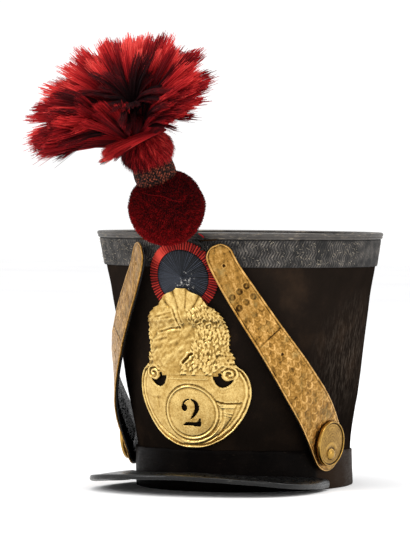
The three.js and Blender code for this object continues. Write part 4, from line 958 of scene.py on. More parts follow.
def plate_relief(x, z):
    """Millimetres that the stamped front stands out from the sheet, at places in millimetres."""
    rng = np.random.default_rng(SEED)
    up, across = z / PLATE_TALL, x / PLATE_SIDE
    middle = ROUNDEL_UP * PLATE_TALL
    one_side = [(s * PLATE_SIDE, u * PLATE_TALL)
                for u, s in zip(PLATE_OUTLINE["up"], PLATE_OUTLINE["side"]) if u < SHIELD_TOP]
    rim, _ = near_line(x, z, [(-s, u) for s, u in one_side[::-1]] + one_side)
    shield = up < 0.535
    height = 0.75 + 0.55 * np.cos(np.clip(np.hypot(x, z - 34) / 56, 0, 1) * math.pi / 2)
    height = np.where(shield & (rim < 1.7), 0.5 + ridge(rim - 0.85, 0.95, 1.1), height)
    height = np.where(shield & (rim > 1.7) & (rim < 2.7), 0.15, height)
    height = np.maximum(height, (0.55 + ridge(rim - 3.9, 1.2, 0.85)) * (rim > 2.7) * (rim < 5.1) * shield)
    height = np.where(shield & (rim > 5.1) & (rim < 5.7), 0.5, height)
    for slit in (((43.4, 62.3), (45.6, 59), (47.6, 54.4)), ((-42.5, 64), (-45, 61), (-47, 57.5))):
        cut, _ = near_line(x, z, slit)
        height = np.where(cut < 0.7, -0.3, height)

    stops = np.linspace(0, 1, 70)
    turn = np.radians(HORN["turn"][0] + (HORN["turn"][-1] - HORN["turn"][0]) * stops)
    out = np.interp(-np.degrees(turn), -HORN["turn"], HORN["out"]) * ROUNDEL_RADIUS
    half = np.interp(-np.degrees(turn), -HORN["turn"], HORN["half"]) * HORN_BELL_WIDTH
    horn = np.stack([out * np.cos(turn), middle + out * np.sin(turn)], 1)
    away, share = near_line(x, z, horn)
    width = np.interp(share, stops, half)
    fade = np.clip((0.93 - share) / 0.4, 0, 1)
    bell = (away < width) & shield & (share > 0.004)
    swell = 0.35 + 0.75 * fade * np.sqrt(np.clip(1 - (away / width) ** 2, 0, 1))
    height = np.where(bell, np.maximum(height, 0.55 + swell), height)
    for level, force in ((0.03, 0.5), (0.055, 0.4), (0.105, 0.45), (0.13, 0.3)):
        height = height + force * np.exp(-(((share - level) / 0.007) ** 2)) * bell
    groove = shield & (away > width) & (away < width + 0.75) & (share > 0.004) & (share < 0.9)
    height = np.where(groove, height - 0.55 * fade, height)
    lip, _ = near_line(x, z, [(19.5, 39.6), (25, 37.6), (31, 36.9), (36, 37), (41, 37.4)])
    height = np.where((lip < 0.55) & shield, 0.1, height)
    for radius in (24.6, 27.4):
        arc = np.abs(np.hypot(x - 0.5, z - middle) - radius)
        way = np.degrees(np.arctan2(z - middle, x))
        height = height + ridge(arc, 0.6, 0.4) * ((way > -58) & (way < 16)) * shield
    for stroke in (((-36, 41), (-27, 41)), ((-30.5, 41), (-30, 33))):
        line, _ = near_line(x, z, stroke)
        height = height - 0.35 * np.exp(-((line / 0.9) ** 2))

    ring = np.hypot(x, z - middle)
    height = np.where(ring < ROUNDEL_RADIUS + 2.2, 0.75, height)
    height = np.where(ring < ROUNDEL_RADIUS - 0.1, 0.2, height)
    height = np.where(ring < ROUNDEL_RADIUS - 0.9, 0.95, height)
    height = np.maximum(height, (0.55 + ridge(ring - ROUNDEL_RADIUS - 1.1, 1.0, 0.95)) * (ring < 22.8))
    height = np.where((ring > 22.7) & (ring < 23.5) & shield, np.minimum(height, 0.2), height)

    bars = np.abs(across) < 0.37
    for level, rise in ((55.2, 0.5), (57.1, 0.75), (58.9, 0.5)):
        bar = np.abs(z - level)
        height = np.where(bars & (bar < 0.95), 0.35 + ridge(bar, 0.85, rise + 0.3), height)
    for sign in (-1, 1):
        lip, _ = near_line(x, z, notch(sign), closed=True)
        below = z < 59
        for gap, rise in ((1.0, 0.9), (3.6, 0.55)):
            height = np.where((np.abs(lip - gap) < 0.95) & below, 0.5 + ridge(lip - gap, 0.95, rise), height)
        turns = np.linspace(-1.2, 1.35 * 2 * math.pi, 70)
        reach = 1.6 + 0.62 * (turns + 1.2)
        scroll = np.stack([sign * (33.5 + reach * np.cos(turns)), 61.3 + reach * 0.85 * np.sin(turns)], 1)
        curl, _ = near_line(x, z, scroll)
        sweep, _ = near_line(x, z, [(sign * a, b) for a, b in ((27.5, 64.5), (31, 67.4), (36, 68.4), (41, 67),
                                                              (45, 63.4), (47.8, 58), (48.6, 52))])
        zone = (np.hypot(x - sign * 34, (z - 61.8) / 0.85) < 7.4) & (lip > 1.0)
        height = np.where(zone, 0.35, height)
        height = np.where(zone & (curl < 1.15), 0.35 + ridge(curl, 1.15, 1.1), height)
        height = np.where((sweep < 1.1) & (np.abs(z - 60) < 10), 0.5 + ridge(sweep, 1.1, 1.0), height)

    wreath = (z > 60.5 + 7.5 * np.clip((np.abs(x) - 19) / 9, 0, 1)) & ~(zone_of_scrolls(x, z))
    dome = 0.5 + 1.3 * np.sqrt(np.clip(1 - (across / 0.8) ** 2 - ((up - 0.7) / 0.34) ** 2, 0, 1))
    leaves = leaf_field(x, z, plate_leaves(rng))
    figure = np.clip(1.5 - 1.4 * np.hypot((x - 2) / 10, (z - 96) / 13), 0, 1)
    left = np.clip((4 - x) / 7, 0, 1) * np.clip((z - 67) / 6, 0, 1) * np.clip((35 + x) / 5, 0, 1)
    calm = np.clip(np.maximum(figure, left), 0, 1)
    along = 0.8 * x + 0.6 * z + 6 * np.sin(z / 16)
    drawn = np.stack([0.34 * along, 0.8 * z - 0.6 * x, 0 * x], -1)
    soft = 0.5 + 0.42 * wobble(drawn, 10, 71) + 0.24 * wobble(drawn, 4, 72)
    carved = dome + leaves * (1 - calm) + soft * calm
    height = np.where(wreath, carved, height)
    for stroke, depth, width in (
            (((-10.5, 128), (-4, 99)), 0.5, 0.7), (((-6.6, 128), (-1.5, 104)), 0.35, 0.6),
            (((-24.5, 95.5), (-12, 98.3), (-4, 99.4)), 0.45, 0.7), (((-22, 106), (-10, 108)), 0.25, 0.6),
            (((-30, 88), (-17, 91)), 0.2, 0.7), (((-9, 112), (-24, 108)), 0.2, 0.6),
            (((-3.6, 70.5), (0.5, 74.6), (2.2, 77.2), (5, 78)), 1.1, 0.8)):
        line, _ = near_line(x, z, stroke)
        height = height - depth * np.exp(-((line / width) ** 2)) * wreath
        height = height + depth * 0.5 * np.exp(-(((line - 2 * width) / width) ** 2)) * wreath

    fan = np.arctan2(x - 0.5, z - 101)
    flute = np.abs(np.cos(fan * 8.2 + 0.5))
    shell = np.clip((z - 113 - 0.018 * x * x) / 3, 0, 1) * np.clip((17 - np.abs(x - 1)) / 2.5, 0, 1)
    height = height * (1 - shell) + shell * (0.6 + 0.4 * (1 - (x / 20) ** 2) + 1.3 * flute**0.7)
    gem = np.hypot(x - 3.5, z - 110)
    height = height + 0.9 * np.exp(-((gem / 2.2) ** 2)) * wreath
    return height


def notch(sign):
    """The outline of the opening on one side, between the shield and the wreath, in millimetres."""
    return np.stack([sign * NOTCH["side"] * PLATE_SIDE, NOTCH["up"] * PLATE_TALL], 1)


def zone_of_scrolls(x, z):
    """The corners of the shield's top that belong to the scrolls and not to the wreath."""
    return (np.hypot(np.abs(x) - 34, (z - 61.8) / 0.85) < 7.6) | ((np.abs(x) > 39) & (z < 71))


def plate_proud(height):
    """The plate bends outwards near its top, where it lies over the cockade."""
    low = COCKADE_HEIGHT - COCKADE_RADIUS - 14 * MM
    share = np.clip((height - low) / (12 * MM), 0, 1)
    return PLATE_BACK + (COCKADE_BACK + COCKADE_THICKNESS) * share * share * (3 - 2 * share)


def spread(field, reach):
    """The mean of a field over a square of places, to tell a hollow from a crest."""
    for axis in (0, 1):
        pad = [(0, 0), (0, 0)]
        pad[axis] = (reach + 1, reach)
        total = np.cumsum(np.pad(field, pad, mode="edge"), axis=axis)
        ends = [slice(None), slice(None)]
        starts = [slice(None), slice(None)]
        ends[axis] = slice(2 * reach + 1, None)
        starts[axis] = slice(None, -2 * reach - 1)
        field = (total[tuple(ends)] - total[tuple(starts)]) / (2 * reach + 1)
    return field


def plate():
    """The stamped plate: a wreath under a shell, over a shield with a numbered roundel and a horn."""
    across = np.linspace(-1, 1, 163)
    up = np.linspace(0, 1, 245)
    smoothed = smooth(PLATE_OUTLINE, "up", up, "side")
    side = np.where(up < SHIELD_TOP, smoothed, 0.5 * np.interp(up, PLATE_OUTLINE["up"], PLATE_OUTLINE["side"])
                    + 0.5 * smoothed)
    tooth = 1 - ((up * PLATE_TALL / 3.7) % 1)
    serrated = np.clip((up - SHIELD_TOP) / 0.02, 0, 1) * np.clip((0.9 - up) / 0.02, 0, 1)
    side = side + serrated * (0.034 * tooth - 0.014)
    side = side + (up > 0.895) * 0.02 * np.abs(np.sin(up * PLATE_TALL / 2.3))
    x = across[None] * side[:, None] * PLATE_SIDE
    z = np.repeat(up[:, None] * PLATE_TALL, len(across), 1)
    relief = plate_relief(x, z)
    rounded = 0.5 * relief + 0.5 * spread(relief, 1)
    relief = np.where(z < 60, rounded, relief)
    local = relief - spread(relief, 4)
    edge = np.clip((1 - np.abs(across[None])) * side[:, None] * PLATE_SIDE / 0.6, 0, 1)
    relief = relief * (0.4 + 0.6 * edge)
    height = PLATE_FOOT + z / PLATE_TALL * PLATE_HEIGHT
    points = front(x * MM, height, plate_proud(height) + PLATE_SHEET + relief * MM)
    back = front(x * MM, height, plate_proud(height))
    cuts = numeral_outlines(ROUNDEL_UP * PLATE_TALL) + [notch(-1), notch(1)]
    cx = (x[:-1, :-1] + x[1:, 1:]) / 2
    cz = (z[:-1, :-1] + z[1:, 1:]) / 2
    gone = np.zeros(cx.shape, bool)
    for outline in cuts:
        gone |= inside(cx, cz, outline)
    # The colour follows crests and hollows: pale on crests as painted highlight, dark in hollows as tarnish
    # and painted shade.
    layer = np.clip(np.where(z < 60, 0.63 + 0.6 * local, 0.58 + 0.85 * local), 0, 1)
    made = two_sided("plate_gilt", points, back, ~gone, GILT, layer)
    return into_object(made, "gilt_brass", "plate")


def two_sided(name, outer, inner, keep, material, relief):
    """A stamped sheet from its two faces, closed along its rim and round every opening."""
    nv = keep.shape[1] + 1
    half = outer.shape[0] * outer.shape[1]
    i, j = np.nonzero(keep)
    a, b = i * nv + j, (i + 1) * nv + j
    faces = np.stack([a, b, b + 1, a + 1], 1)
    edge_faces = []
    padded = np.pad(keep, 1)
    for di, dj, first, second in ((-1, 0, 0, 3), (1, 0, 2, 1), (0, -1, 1, 0), (0, 1, 3, 2)):
        open_side = ~padded[i + 1 + di, j + 1 + dj]
        p, q = faces[open_side, first], faces[open_side, second]
        edge_faces.append(np.stack([p, q, q + half, p + half], 1))
    under = faces[:, ::-1] + half
    every = np.concatenate([faces, under, *edge_faces]).tolist()
    points = np.concatenate([outer.reshape(-1, 3), inner.reshape(-1, 3)])
    used = np.unique(np.array(every))
    renumber = np.full(len(points), -1)
    renumber[used] = np.arange(len(used))
    every = [[int(renumber[k]) for k in face] for face in every]
    layer = np.concatenate([relief.ravel(), np.full(relief.size, 0.2)])[used]
    return mesh_object(name, points[used], every, material, {"relief": layer})


# The cockade

def pleats(angle, count, seed):
    """A sawtooth of hand-laid pleats, each a little different, between 0 and 1."""
    rng = np.random.default_rng(seed)
    place = angle / (2 * math.pi) * count
    cell = np.floor(place).astype(int) % count
    share = place - np.floor(place)
    top = rng.uniform(0.3, 0.75, count)[cell]
    tall = rng.uniform(0.55, 1.0, count)[cell]
    return tall * np.where(share < top, share / top, (1 - share) / (1 - top))


def cockade_rim():
    angles = full_turn(620)
    radii = np.linspace(COCKADE_DISC + CLEARANCE, COCKADE_RADIUS, 14)
    fold = pleats(angles, RED_PLEATS, 3)[:, None] * np.ones(len(radii))
    off = (angles - SMOOTH_CLOTH_TURN + math.pi) % (2 * math.pi) - math.pi
    smooth_patch = np.exp(-(off / math.radians(17)) ** 2)[:, None]
    fold = fold * (1 - smooth_patch) + 0.95 * smooth_patch
    round_off = np.sqrt(np.clip(1 - ((radii - radii.mean()) / (radii[-1] - radii[0]) * 1.7) ** 2, 0.1, 1))
    proud = COCKADE_BACK + 0.7 * MM + 1.3 * MM * fold * round_off[None]
    ragged = 1 + 0.022 * pleats(angles, RED_PLEATS, 3)[:, None] * (radii - radii[0]) / (radii[-1] - radii[0])
    x = radii[None] * ragged * np.cos(angles)[:, None]
    z = COCKADE_HEIGHT + radii[None] * ragged * np.sin(angles)[:, None]
    face = front(x, z, proud)
    back = front(x[:, [-1, 0]], z[:, [-1, 0]], COCKADE_BACK)
    # The pleats' relief is also the colour: painted shade between them, painted highlight on their crests and
    # on the smooth patch.
    layer = np.concatenate([fold * 0.85, np.zeros((len(angles), 2))], 1)
    made = grid_object("cockade_red_pleats", np.concatenate([face, back], 1), RED_CLOTH, True, True,
                       layers={"relief": layer})
    return into_object(made, "red_cloth", "cockade_rim")


def cockade_disc():
    angles = full_turn(560)
    radii = COCKADE_DISC * np.linspace(0.01, 1, 22)
    fold = pleats(angles, DARK_PLEATS, 6)[:, None] * (radii / COCKADE_DISC)[None] ** 0.7
    right = 0.2 + 0.4 * (1 + np.cos(angles - DARK_PLEATS_TURN))[:, None]
    fold = fold * right
    dome = 0.6 * MM * (1 - (radii / COCKADE_DISC) ** 2)
    proud = COCKADE_BACK + 1.0 * MM + dome[None] + 0.8 * MM * fold
    proud[:, -1] -= 0.5 * MM
    x = radii[None] * np.cos(angles)[:, None]
    z = COCKADE_HEIGHT + radii[None] * np.sin(angles)[:, None]
    back = front(x[:, [-1, 0]], z[:, [-1, 0]], COCKADE_BACK)
    pleated = 0.5 + 0.5 * np.cos(angles - DARK_PLEATS_TURN)[:, None]
    creases = pleats(angles, DARK_PLEATS, 6)[:, None] * np.ones(len(radii))
    # Painted light on the disc: dark crease lines on its pleated side as painted shade, paler crests as
    # painted highlight, a flat mid tone on the smooth side.
    shade = (0.54 + 0.2 * creases) * (1 - pleated) + (0.1 + 0.8 * creases) * pleated
    layer = np.concatenate([shade, np.zeros((len(angles), 2))], 1)
    made = grid_object("cockade_dark_pleats", np.concatenate([front(x, z, proud), back], 1), DARK_CLOTH,
                       round_u=True, caps=True, layers={"relief": layer})
    return into_object(made, "blue_black_cloth", "cockade_disc")


# Chin straps

def strap_twist(at, sign):
    return 0.0 if sign > 0 else float(smooth(STRAP, "along", at, "twist")) * STRAP_TWIST


def strap_width(at):
    return STRAP_TOP_WIDTH + (STRAP_FOOT_WIDTH - STRAP_TOP_WIDTH) * float(smooth(STRAP, "along", at, "wide"))


def strap_place(at, sign):
    turn = sign * float(smooth(STRAP, "along", at, "turn")) * STRAP_FOOT_ANGLE
    height = STRAP_FOOT_HEIGHT + float(smooth(STRAP, "along", at, "up")) * (GALON_TOP - STRAP_FOOT_HEIGHT)
    bow = float(smooth(STRAP, "along", at, "bow")) * STRAP_BULGE
    back = COCKADE_BACK + COCKADE_THICKNESS + CLEARANCE
    seat = BASE_BAND_FACE + CLEARANCE
    aside = strap_width(at) / 2 * math.sin(strap_twist(at, sign))
    return wall(turn, height, back + (seat - back) * at + bow + aside)


def strap_frame(at, sign):
    """The strap's middle, and the ways across and out from the hat there."""
    before, after = strap_place(max(0, at - 0.01), sign), strap_place(min(1, at + 0.01), sign)
    ahead = unit(after - before)
    turn = sign * float(smooth(STRAP, "along", at, "turn")) * STRAP_FOOT_ANGLE
    out = unit(wall(turn, GALON_TOP / 2, 1 * MM) - wall(turn, GALON_TOP / 2, 0))
    across = unit(np.cross(ahead, out))
    if across[1] > 0:
        across = -across
    lift = unit(np.cross(across, ahead))
    if lift @ out < 0:
        lift = -lift
    twist = strap_twist(at, sign)
    turned = across * math.cos(twist) + lift * math.sin(twist)
    return strap_place(at, sign), turned, lift * math.cos(twist) - across * math.sin(twist)


def scale_relief(run, aside, rng):
    """Rows of small round scales with raised edges, unevenly stamped and rubbed: 0 low, 1 high."""
    height = np.full(np.broadcast(run, aside).shape, 0.16)
    row = np.floor(run / STRAP_SCALE_PITCH)
    strength = rng.uniform(0.35, 1.0, (200, STRAP_SCALE_COLUMNS + 2))
    for step in (1, 0):
        this = row + step
        cell = aside * STRAP_SCALE_COLUMNS / 2 + 0.5 * (this % 2) + STRAP_SCALE_COLUMNS / 2
        local = cell - np.floor(cell) - 0.5
        away = (run - this * STRAP_SCALE_PITCH) / STRAP_SCALE_PITCH
        reach = np.hypot(local * 1.9, away * 0.95)
        scale_row = this.astype(int) % 200 * np.ones_like(cell, int)
        force = strength[scale_row, np.floor(cell).astype(int) % STRAP_SCALE_COLUMNS]
        bowl = 0.26 + 0.42 * np.clip(1.0 - reach, 0, 1)
        edge = np.exp(-(((reach - 0.76) / 0.16) ** 2))
        height = np.where(reach < 0.95, bowl + 0.62 * edge * force, height)
    return height


def strap_scales(sign, word):
    """A strap's brass face: rims, scales, three rows of struck circles, a seam and pin holes."""
    rng = np.random.default_rng(SEED + 60)
    stops = np.concatenate([np.linspace(0.0008, 0.06, 26), np.linspace(0.062, 0.938, 330),
                            np.linspace(0.94, 0.9992, 26)])
    frames = [strap_frame(at, sign) for at in stops]
    places = np.array([f[0] for f in frames])
    run = run_along(places)
    run = run + stops[0] * run[-1]
    length = run[-1]
    aside = np.linspace(-1, 1, 51)
    half = np.array([strap_width(at) / 2 for at in stops])
    end = np.minimum(run, length - run + stops[0] * length)
    short = half - np.minimum(end, half)
    rounded = np.where(end < half, np.sqrt(np.maximum(1e-10, half**2 - short**2)), half)
    relief = scale_relief(run[:, None], aside[None], rng)
    inset = np.minimum((1 - np.abs(aside[None])) * rounded[:, None], end[:, None])
    plain_top = np.clip((run[:, None] - 0.27 * length) / (6 * MM), 0, 1)
    lines = 0.05 * np.sin(run[:, None] / (0.9 * MM)) + 0.05 * np.sin(aside[None] * 21)
    relief = 0.55 + (relief - 0.55) * (0.22 + 0.78 * plain_top) + lines
    across_strap = aside[None] * half[:, None] * -sign
    for at, force in ((0.187, 0.65), (0.232, 0.65), (0.285, 0.3)) if sign > 0 else ():
        for spot in (-0.66, 0.0, 0.66):
            middle = at * length - spot * 1.2 * MM
            away = np.hypot(across_strap - spot * half.min() * 0.98, run[:, None] - middle)
            cup = 0.42 - 0.55 * np.exp(-(((away - 1.9 * MM) / (0.9 * MM)) ** 2))
            ring = 0.9 * np.exp(-(((away - 3.4 * MM) / (0.5 * MM)) ** 2))
            relief = np.where(away < 4 * MM, relief * (1 - force) + force * np.maximum(cup, ring), relief)
    seam = np.exp(-(((run[:, None] + across_strap * 0.1 - 0.385 * length) / (0.5 * MM)) ** 2))
    relief = relief * (1 - seam) + 0.05 * seam
    for at, spot in ((0.08, 0.0), (0.462, 0.1), (0.843, -0.1)):
        away = np.hypot(across_strap - spot * 10 * MM, run[:, None] - at * length)
        relief = np.where(away < 1.3 * MM, -0.9, np.where(away < 2.2 * MM, 0.8, relief))
    rim = np.exp(-(((inset - 0.8 * MM) / (0.6 * MM)) ** 2))
    gap = (inset > 1.5 * MM) & (inset < 2.3 * MM)
    relief = np.where(gap, 0.3, relief)
    relief = np.maximum(relief, rim * 0.95)
    swell = wobble(places[:, None] + aside[None, :, None] * np.array((0, 0, 20 * MM)), 30 * MM, 12)
    dents = wobble(places[:, None] + aside[None, :, None] * np.array((0, 0, 20 * MM)), 7 * MM, 13)
    lift = STRAP_BASE + STRAP_BRASS + relief * 0.6 * MM + swell * 0.25 * MM + dents * 0.07 * MM
    across = np.array([f[1] for f in frames])[:, None]
    out = np.array([f[2] for f in frames])[:, None]
    where = places[:, None] + across * (aside[None] * rounded[:, None])[..., None]
    face = where + out * lift[..., None]
    back = where[:, [-1, 0]] + out * STRAP_BASE
    # The scales' relief also sets their colour: dark in the hollows and bright on rims and edges, a painted
    # shade and painted highlight beside the tarnish.
    layer = np.clip(relief * 0.8 + dents * 0.1, 0, 1)
    layer = np.concatenate([layer, np.full((len(stops), 2), 0.5)], 1)
    made = grid_object(f"strap_scales_{word}_brass", np.concatenate([face, back], 1), OLD_BRASS,
                       round_v=True, caps=True, layers={"relief": layer})
    return into_object(made, "strap_brass", f"strap_scales_{word}")


def seat_of(name):
    """The middle of a round solid's seat and the way that it faces, away from the hat."""
    points = np.unique(np.array([v.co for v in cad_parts[name].data.vertices], float).round(6), axis=0)
    out = np.linalg.svd(points - points.mean(0), full_matrices=False)[2][2]
    out = out if out @ (points.mean(0) * (1, 1, 0)) > 0 else -out
    level = unit(np.array((0, 0, -1.0)) + out * out[2])
    middle = np.zeros(3)
    for way, share in ((np.cross(out, level), 0.5), (level, 0.5), (out, 0.0)):
        reach = points @ way
        middle = middle + way * (reach.min() + share * (reach.max() - reach.min()))
    return middle, out


def boss(word):
    """A turned and stamped boss: beaded rim, dished face with faint rings, and a small ball coloured bright
    as a painted highlight.
    """
    seat, out = seat_of(f"strap_boss_{word}")
    level = unit(np.array((0, 0, -1.0)) + out * out[2])
    cross = np.cross(out, level)
    angles = full_turn(130)
    shares = np.concatenate([np.linspace(0.01, 0.9, 50), np.linspace(0.905, 1, 16)])
    radius = shares * BOSS_RADIUS
    x = radius[None] * np.cos(angles)[:, None]
    z = radius[None] * np.sin(angles)[:, None]
    bead = np.sqrt(np.clip(1 - ((shares - 0.955) / 0.045) ** 2, 0, 1))
    dish = BOSS_THICKNESS * (0.66 + 0.14 * (1 - (shares / 0.9) ** 2))
    face = np.where(shares > 0.91, BOSS_THICKNESS * (0.4 + 0.6 * bead), dish)[None] + 0 * x
    ball = BOSS_RADIUS * 0.25
    away = np.hypot(x, z - BOSS_RADIUS * 0.45)
    dome = BOSS_THICKNESS * 0.66 + np.sqrt(np.clip(ball**2 - away**2, 0, None)) * 0.75
    petals = np.abs(np.arctan2(x, BOSS_RADIUS * 0.45 - z)) < 1.1
    arcs = 0.3 * np.sin(away / (1.1 * MM)) * petals * (away < ball * 2.3) * (away > ball)
    brushed = 0.06 * np.sin(radius / (0.35 * MM))[None] + 0 * x
    layer = 0.66 + arcs + brushed
    face = np.where(away < ball, np.maximum(face, dome), face + arcs * 0.5 * MM)
    # Painted light: the ball and the bead are coloured brightest as a painted highlight, the grooves round
    # them darkest as painted shade.
    layer = np.where(away < ball, 1.0, layer)
    layer = np.where((away >= ball) & (away < ball * 1.12), 0.2, layer)
    layer = np.where((shares > 0.88)[None] & (shares < 0.925)[None], 0.15, layer)
    layer = np.where((shares >= 0.925)[None], 0.95, layer)
    where = seat + x[..., None] * cross + z[..., None] * level
    outer = where + face[..., None] * out
    back = where[:, [-1, 0]]
    layer = np.concatenate([layer, np.full((len(angles), 2), 0.3)], 1)
    made = grid_object(f"boss_{word}_brass", np.concatenate([outer, back], 1), BOSS_BRASS, round_u=True,
                       caps=True, layers={"relief": layer})
    return into_object(made, "strap_brass", f"strap_boss_{word}")


# Pompom and plume

def knob(middle, half_height, radius, power, steps, rings):
    """Points of a round body on the plume's axis, ring by ring, and its ways out from the middle."""
    side = unit(np.cross((1.0, 0, 0), PLUME_AXIS))
    forward = np.cross(PLUME_AXIS, side)
    tilt = np.linspace(0.02, math.pi - 0.02, rings)[None]
    angle = full_turn(steps)[:, None]
    wide = radius * np.sin(tilt) ** power
    points = middle - PLUME_AXIS * (half_height * np.cos(tilt))[..., None]
    points = points + side * (wide * np.cos(angle))[..., None] + forward * (wide * np.sin(angle))[..., None]
    return points, angle, tilt


def pompom():
    """A ball of sheared wool: dense short pile, uneven to the touch, with a few loose ends."""
    points, _, _ = knob(POMPOM, POMPOM_RADIUS - 1.9 * MM, POMPOM_RADIUS - 1.5 * MM, 1, 90, 60)
    out = unit(points - POMPOM)
    points = points + out * (wobble(points, 17 * MM, 21) * 0.5 * MM)[..., None]
    ground = grid_object("pompom_pile", points, POMPOM_WOOL, round_u=True, caps=True)
    grow(ground, pile_tree("pompom_pile_tree", POMPOM_WOOL), {
        "Density": 1.9e6, "Length": 2.3 * MM, "Thickness": 0.48 * MM, "Lean": 0.6, "Seed": SEED})
    # Painted light on the ball's lower side towards the wearer's right.
    shade_by_place(ground, 0.45, 9 * MM, 0.13, (-0.35, 0.25, -0.9))
    return into_object(ground, "red_wool", "pompom")


def shade_by_place(piece, middle, size, amount, light, drawn=0.0):
    """Adds to each hair's own tone patches, drawn out along the plume, and a painted light on the side that
    faces the light way.
    """
    mesh = piece.data
    places = np.empty(len(mesh.vertices) * 3, np.float32)
    mesh.vertices.foreach_get("co", places)
    places = places.reshape(-1, 3).astype(float)
    tone = read_layer(mesh, "tone")
    # Painted light: the tone is raised on the side of the piece that faces the given light way.
    away = unit(places - places.mean(0)) @ unit(np.array(light))
    patches = places - PLUME_AXIS * (places @ PLUME_AXIS * drawn)[:, None]
    total = middle + (tone - 0.5) * 0.7 + wobble(patches, size, 33) * amount + 0.22 * away
    mesh.attributes["tone"].data.foreach_set("value", np.clip(total, 0, 1).astype(np.float32))


def turban():
    """The netted knot between pompom and plume: rows of small knots that run round it on the slant."""
    middle = POMPOM + PLUME_AXIS * TURBAN_RISE
    points, angle, tilt = knob(middle, TURBAN_HALF_HEIGHT, TURBAN_RADIUS, 0.55, 238, 48)
    turns = angle / (2 * math.pi) * TURBAN_KNOTS
    rise = tilt / math.pi * TURBAN_ROWS
    knots = np.abs(np.sin(math.pi * (turns + rise))) * np.abs(np.sin(math.pi * (turns - rise)))
    out = unit(points - middle)
    points = points + out * (knots * 0.9 * MM - 0.4 * MM)[..., None]
    made = grid_object("plume_turban_net", points, NET, round_u=True, caps=True, layers={"relief": knots})
    return into_object(made, "net", "plume_turban")


def collar():
    """The bound foot of the plume: short red hair that stands out all round it."""
    points, _, _ = knob(POMPOM + PLUME_AXIS * COLLAR_RISE, COLLAR_HALF_HEIGHT - 1 * MM,
                        COLLAR_RADIUS - 3 * MM, 0.75, 70, 40)
    ground = grid_object("plume_collar_tuft", points, PLUME_HAIR, round_u=True, caps=True)
    grow(ground, pile_tree("collar_pile_tree", PLUME_HAIR), {
        "Density": 2.6e6, "Length": 8.5 * MM, "Thickness": 0.3 * MM, "Lean": 0.35, "Comb": 0.62,
        "Comb Way": tuple(float(v) for v in -PLUME_AXIS), "Seed": SEED + 8})
    # Painted light on the collar's side towards the wearer's left.
    shade_by_place(ground, 0.33, 3.5 * MM, 0.3, (0.9, -0.2, 0.2), 0.85)
    return into_object(ground, "red_plume", "plume_collar")


def bound_roots():
    """The dark foot where all the locks are bound: no light comes through between them there."""
    middle = POMPOM + PLUME_AXIS * PLUME_ROOT_RISE
    points, angle, _ = knob(middle, COLLAR_HALF_HEIGHT, COLLAR_RADIUS * 0.72, 0.8, 60, 24)
    strands = 0.5 + 0.5 * np.sin(angle * 23 + 3 * wobble(points, 9 * MM, 51))
    points = points + unit(points - middle) * (strands * 0.8 * MM)[..., None]
    bound = grid_object("plume_bound_roots", points, PLUME_HAIR, round_u=True, caps=True,
                        layers={"tone": 0.06 + 0.2 * strands})
    return into_object(bound, "red_plume")


def lock(seed, bend, rows, count):
    """One lock, a unit long: a flat bundle of stiff hairs that bends out and ends blunt and frayed."""
    rng = np.random.default_rng(seed)
    angle = rng.uniform(0, 2 * math.pi, count)
    spread_out = np.sqrt(rng.uniform(0.02, 1, count))
    wide, deep = rng.uniform(0.05, 0.066), rng.uniform(0.02, 0.028)
    x, y = np.cos(angle) * spread_out, np.sin(angle) * spread_out
    tip_at = rng.uniform(0.9, 1.0, count) - 0.05 * np.abs(x)
    fray = rng.normal(0, 0.012, (count, 2))
    loose = rng.uniform(0, 1, count) < 0.04
    fray[loose] *= 4
    along = rows["along"][None] * tip_at[:, None]
    fan = rows["along"][None] ** 2
    path = np.stack([wide * rows["width"] * x[:, None] + fray[:, :1] * fan,
                     deep * rows["width"] * y[:, None] + fray[:, 1:] * fan + bend * along**2 * 0.5,
                     along * (1 - 0.2 * bend * bend * along)], -1)
    turn = np.arange(3) * 2 * math.pi / 3 + 0.5
    corners = np.stack([np.cos(turn), np.sin(turn), 0 * turn], -1)
    points = path[:, :, None] + rows["thick"][:, None, None] * corners
    shade = rng.uniform(-0.17, 0.17, count) - 0.1 * (y < -0.3)
    tone = np.repeat(shade[:, None] + rows["tone"], 3, axis=1)
    stops = len(rows["along"])
    faces = []
    for first in range(0, count * stops * 3, stops * 3):
        for low in range(first, first + (stops - 1) * 3, 3):
            for corner, after in ((0, 1), (1, 2), (2, 0)):
                faces.append([low + corner, low + after, low + 3 + after, low + 3 + corner])
        faces.append([first + stops * 3 - 3, first + stops * 3 - 2, first + stops * 3 - 1])
    return mesh_object(f"lock_{seed}", points.reshape(-1, 3), faces, PLUME_HAIR, {"strand": tone}, False)


def long_locks(rng, layer):
    """Turn, lean, length and tone of one layer's long locks, which leave the front of the burst open."""
    reach, low, high = (float(LONG_LOCKS[column][layer]) for column in ("reach", "low", "high"))
    golden = (math.sqrt(5) - 1) / 2
    rows = []
    for k in range(int(LONG_LOCKS["count"][layer])):
        share = (golden * k + 0.13 * layer) % 1.0
        turn = FRONT_TURN + FRONT_GAP + share * 2 * (math.pi - FRONT_GAP)
        degrees = math.degrees(turn) % 360
        lean = math.radians(float(smooth(BURST, "turn", degrees, "lean")))
        lean = lean * rng.uniform(low, high) - LOCK_SWAY
        long = reach * float(smooth(BURST, "turn", degrees, "long")) * rng.uniform(0.84, 1.05)
        # Tone: lighter towards the back of the burst as painted light, darker for each inner layer as painted
        # shade, beside each lock's own random tone.
        tone = 0.54 + 0.2 * math.sin(turn) + rng.uniform(-0.32, 0.27) - 0.04 * layer
        rows.append((turn, lean, long, tone))
    return rows


def curled_locks(rng):
    """Short locks that stand in the hollow of the burst and curl, kept dark as a painted shade for the
    hollow.
    """
    return [(rng.uniform(0, 2 * math.pi), math.radians(rng.uniform(2, 34)), rng.uniform(0.34, 0.62),
             rng.uniform(0.0, 0.26)) for _ in range(CURLED_LOCKS)]


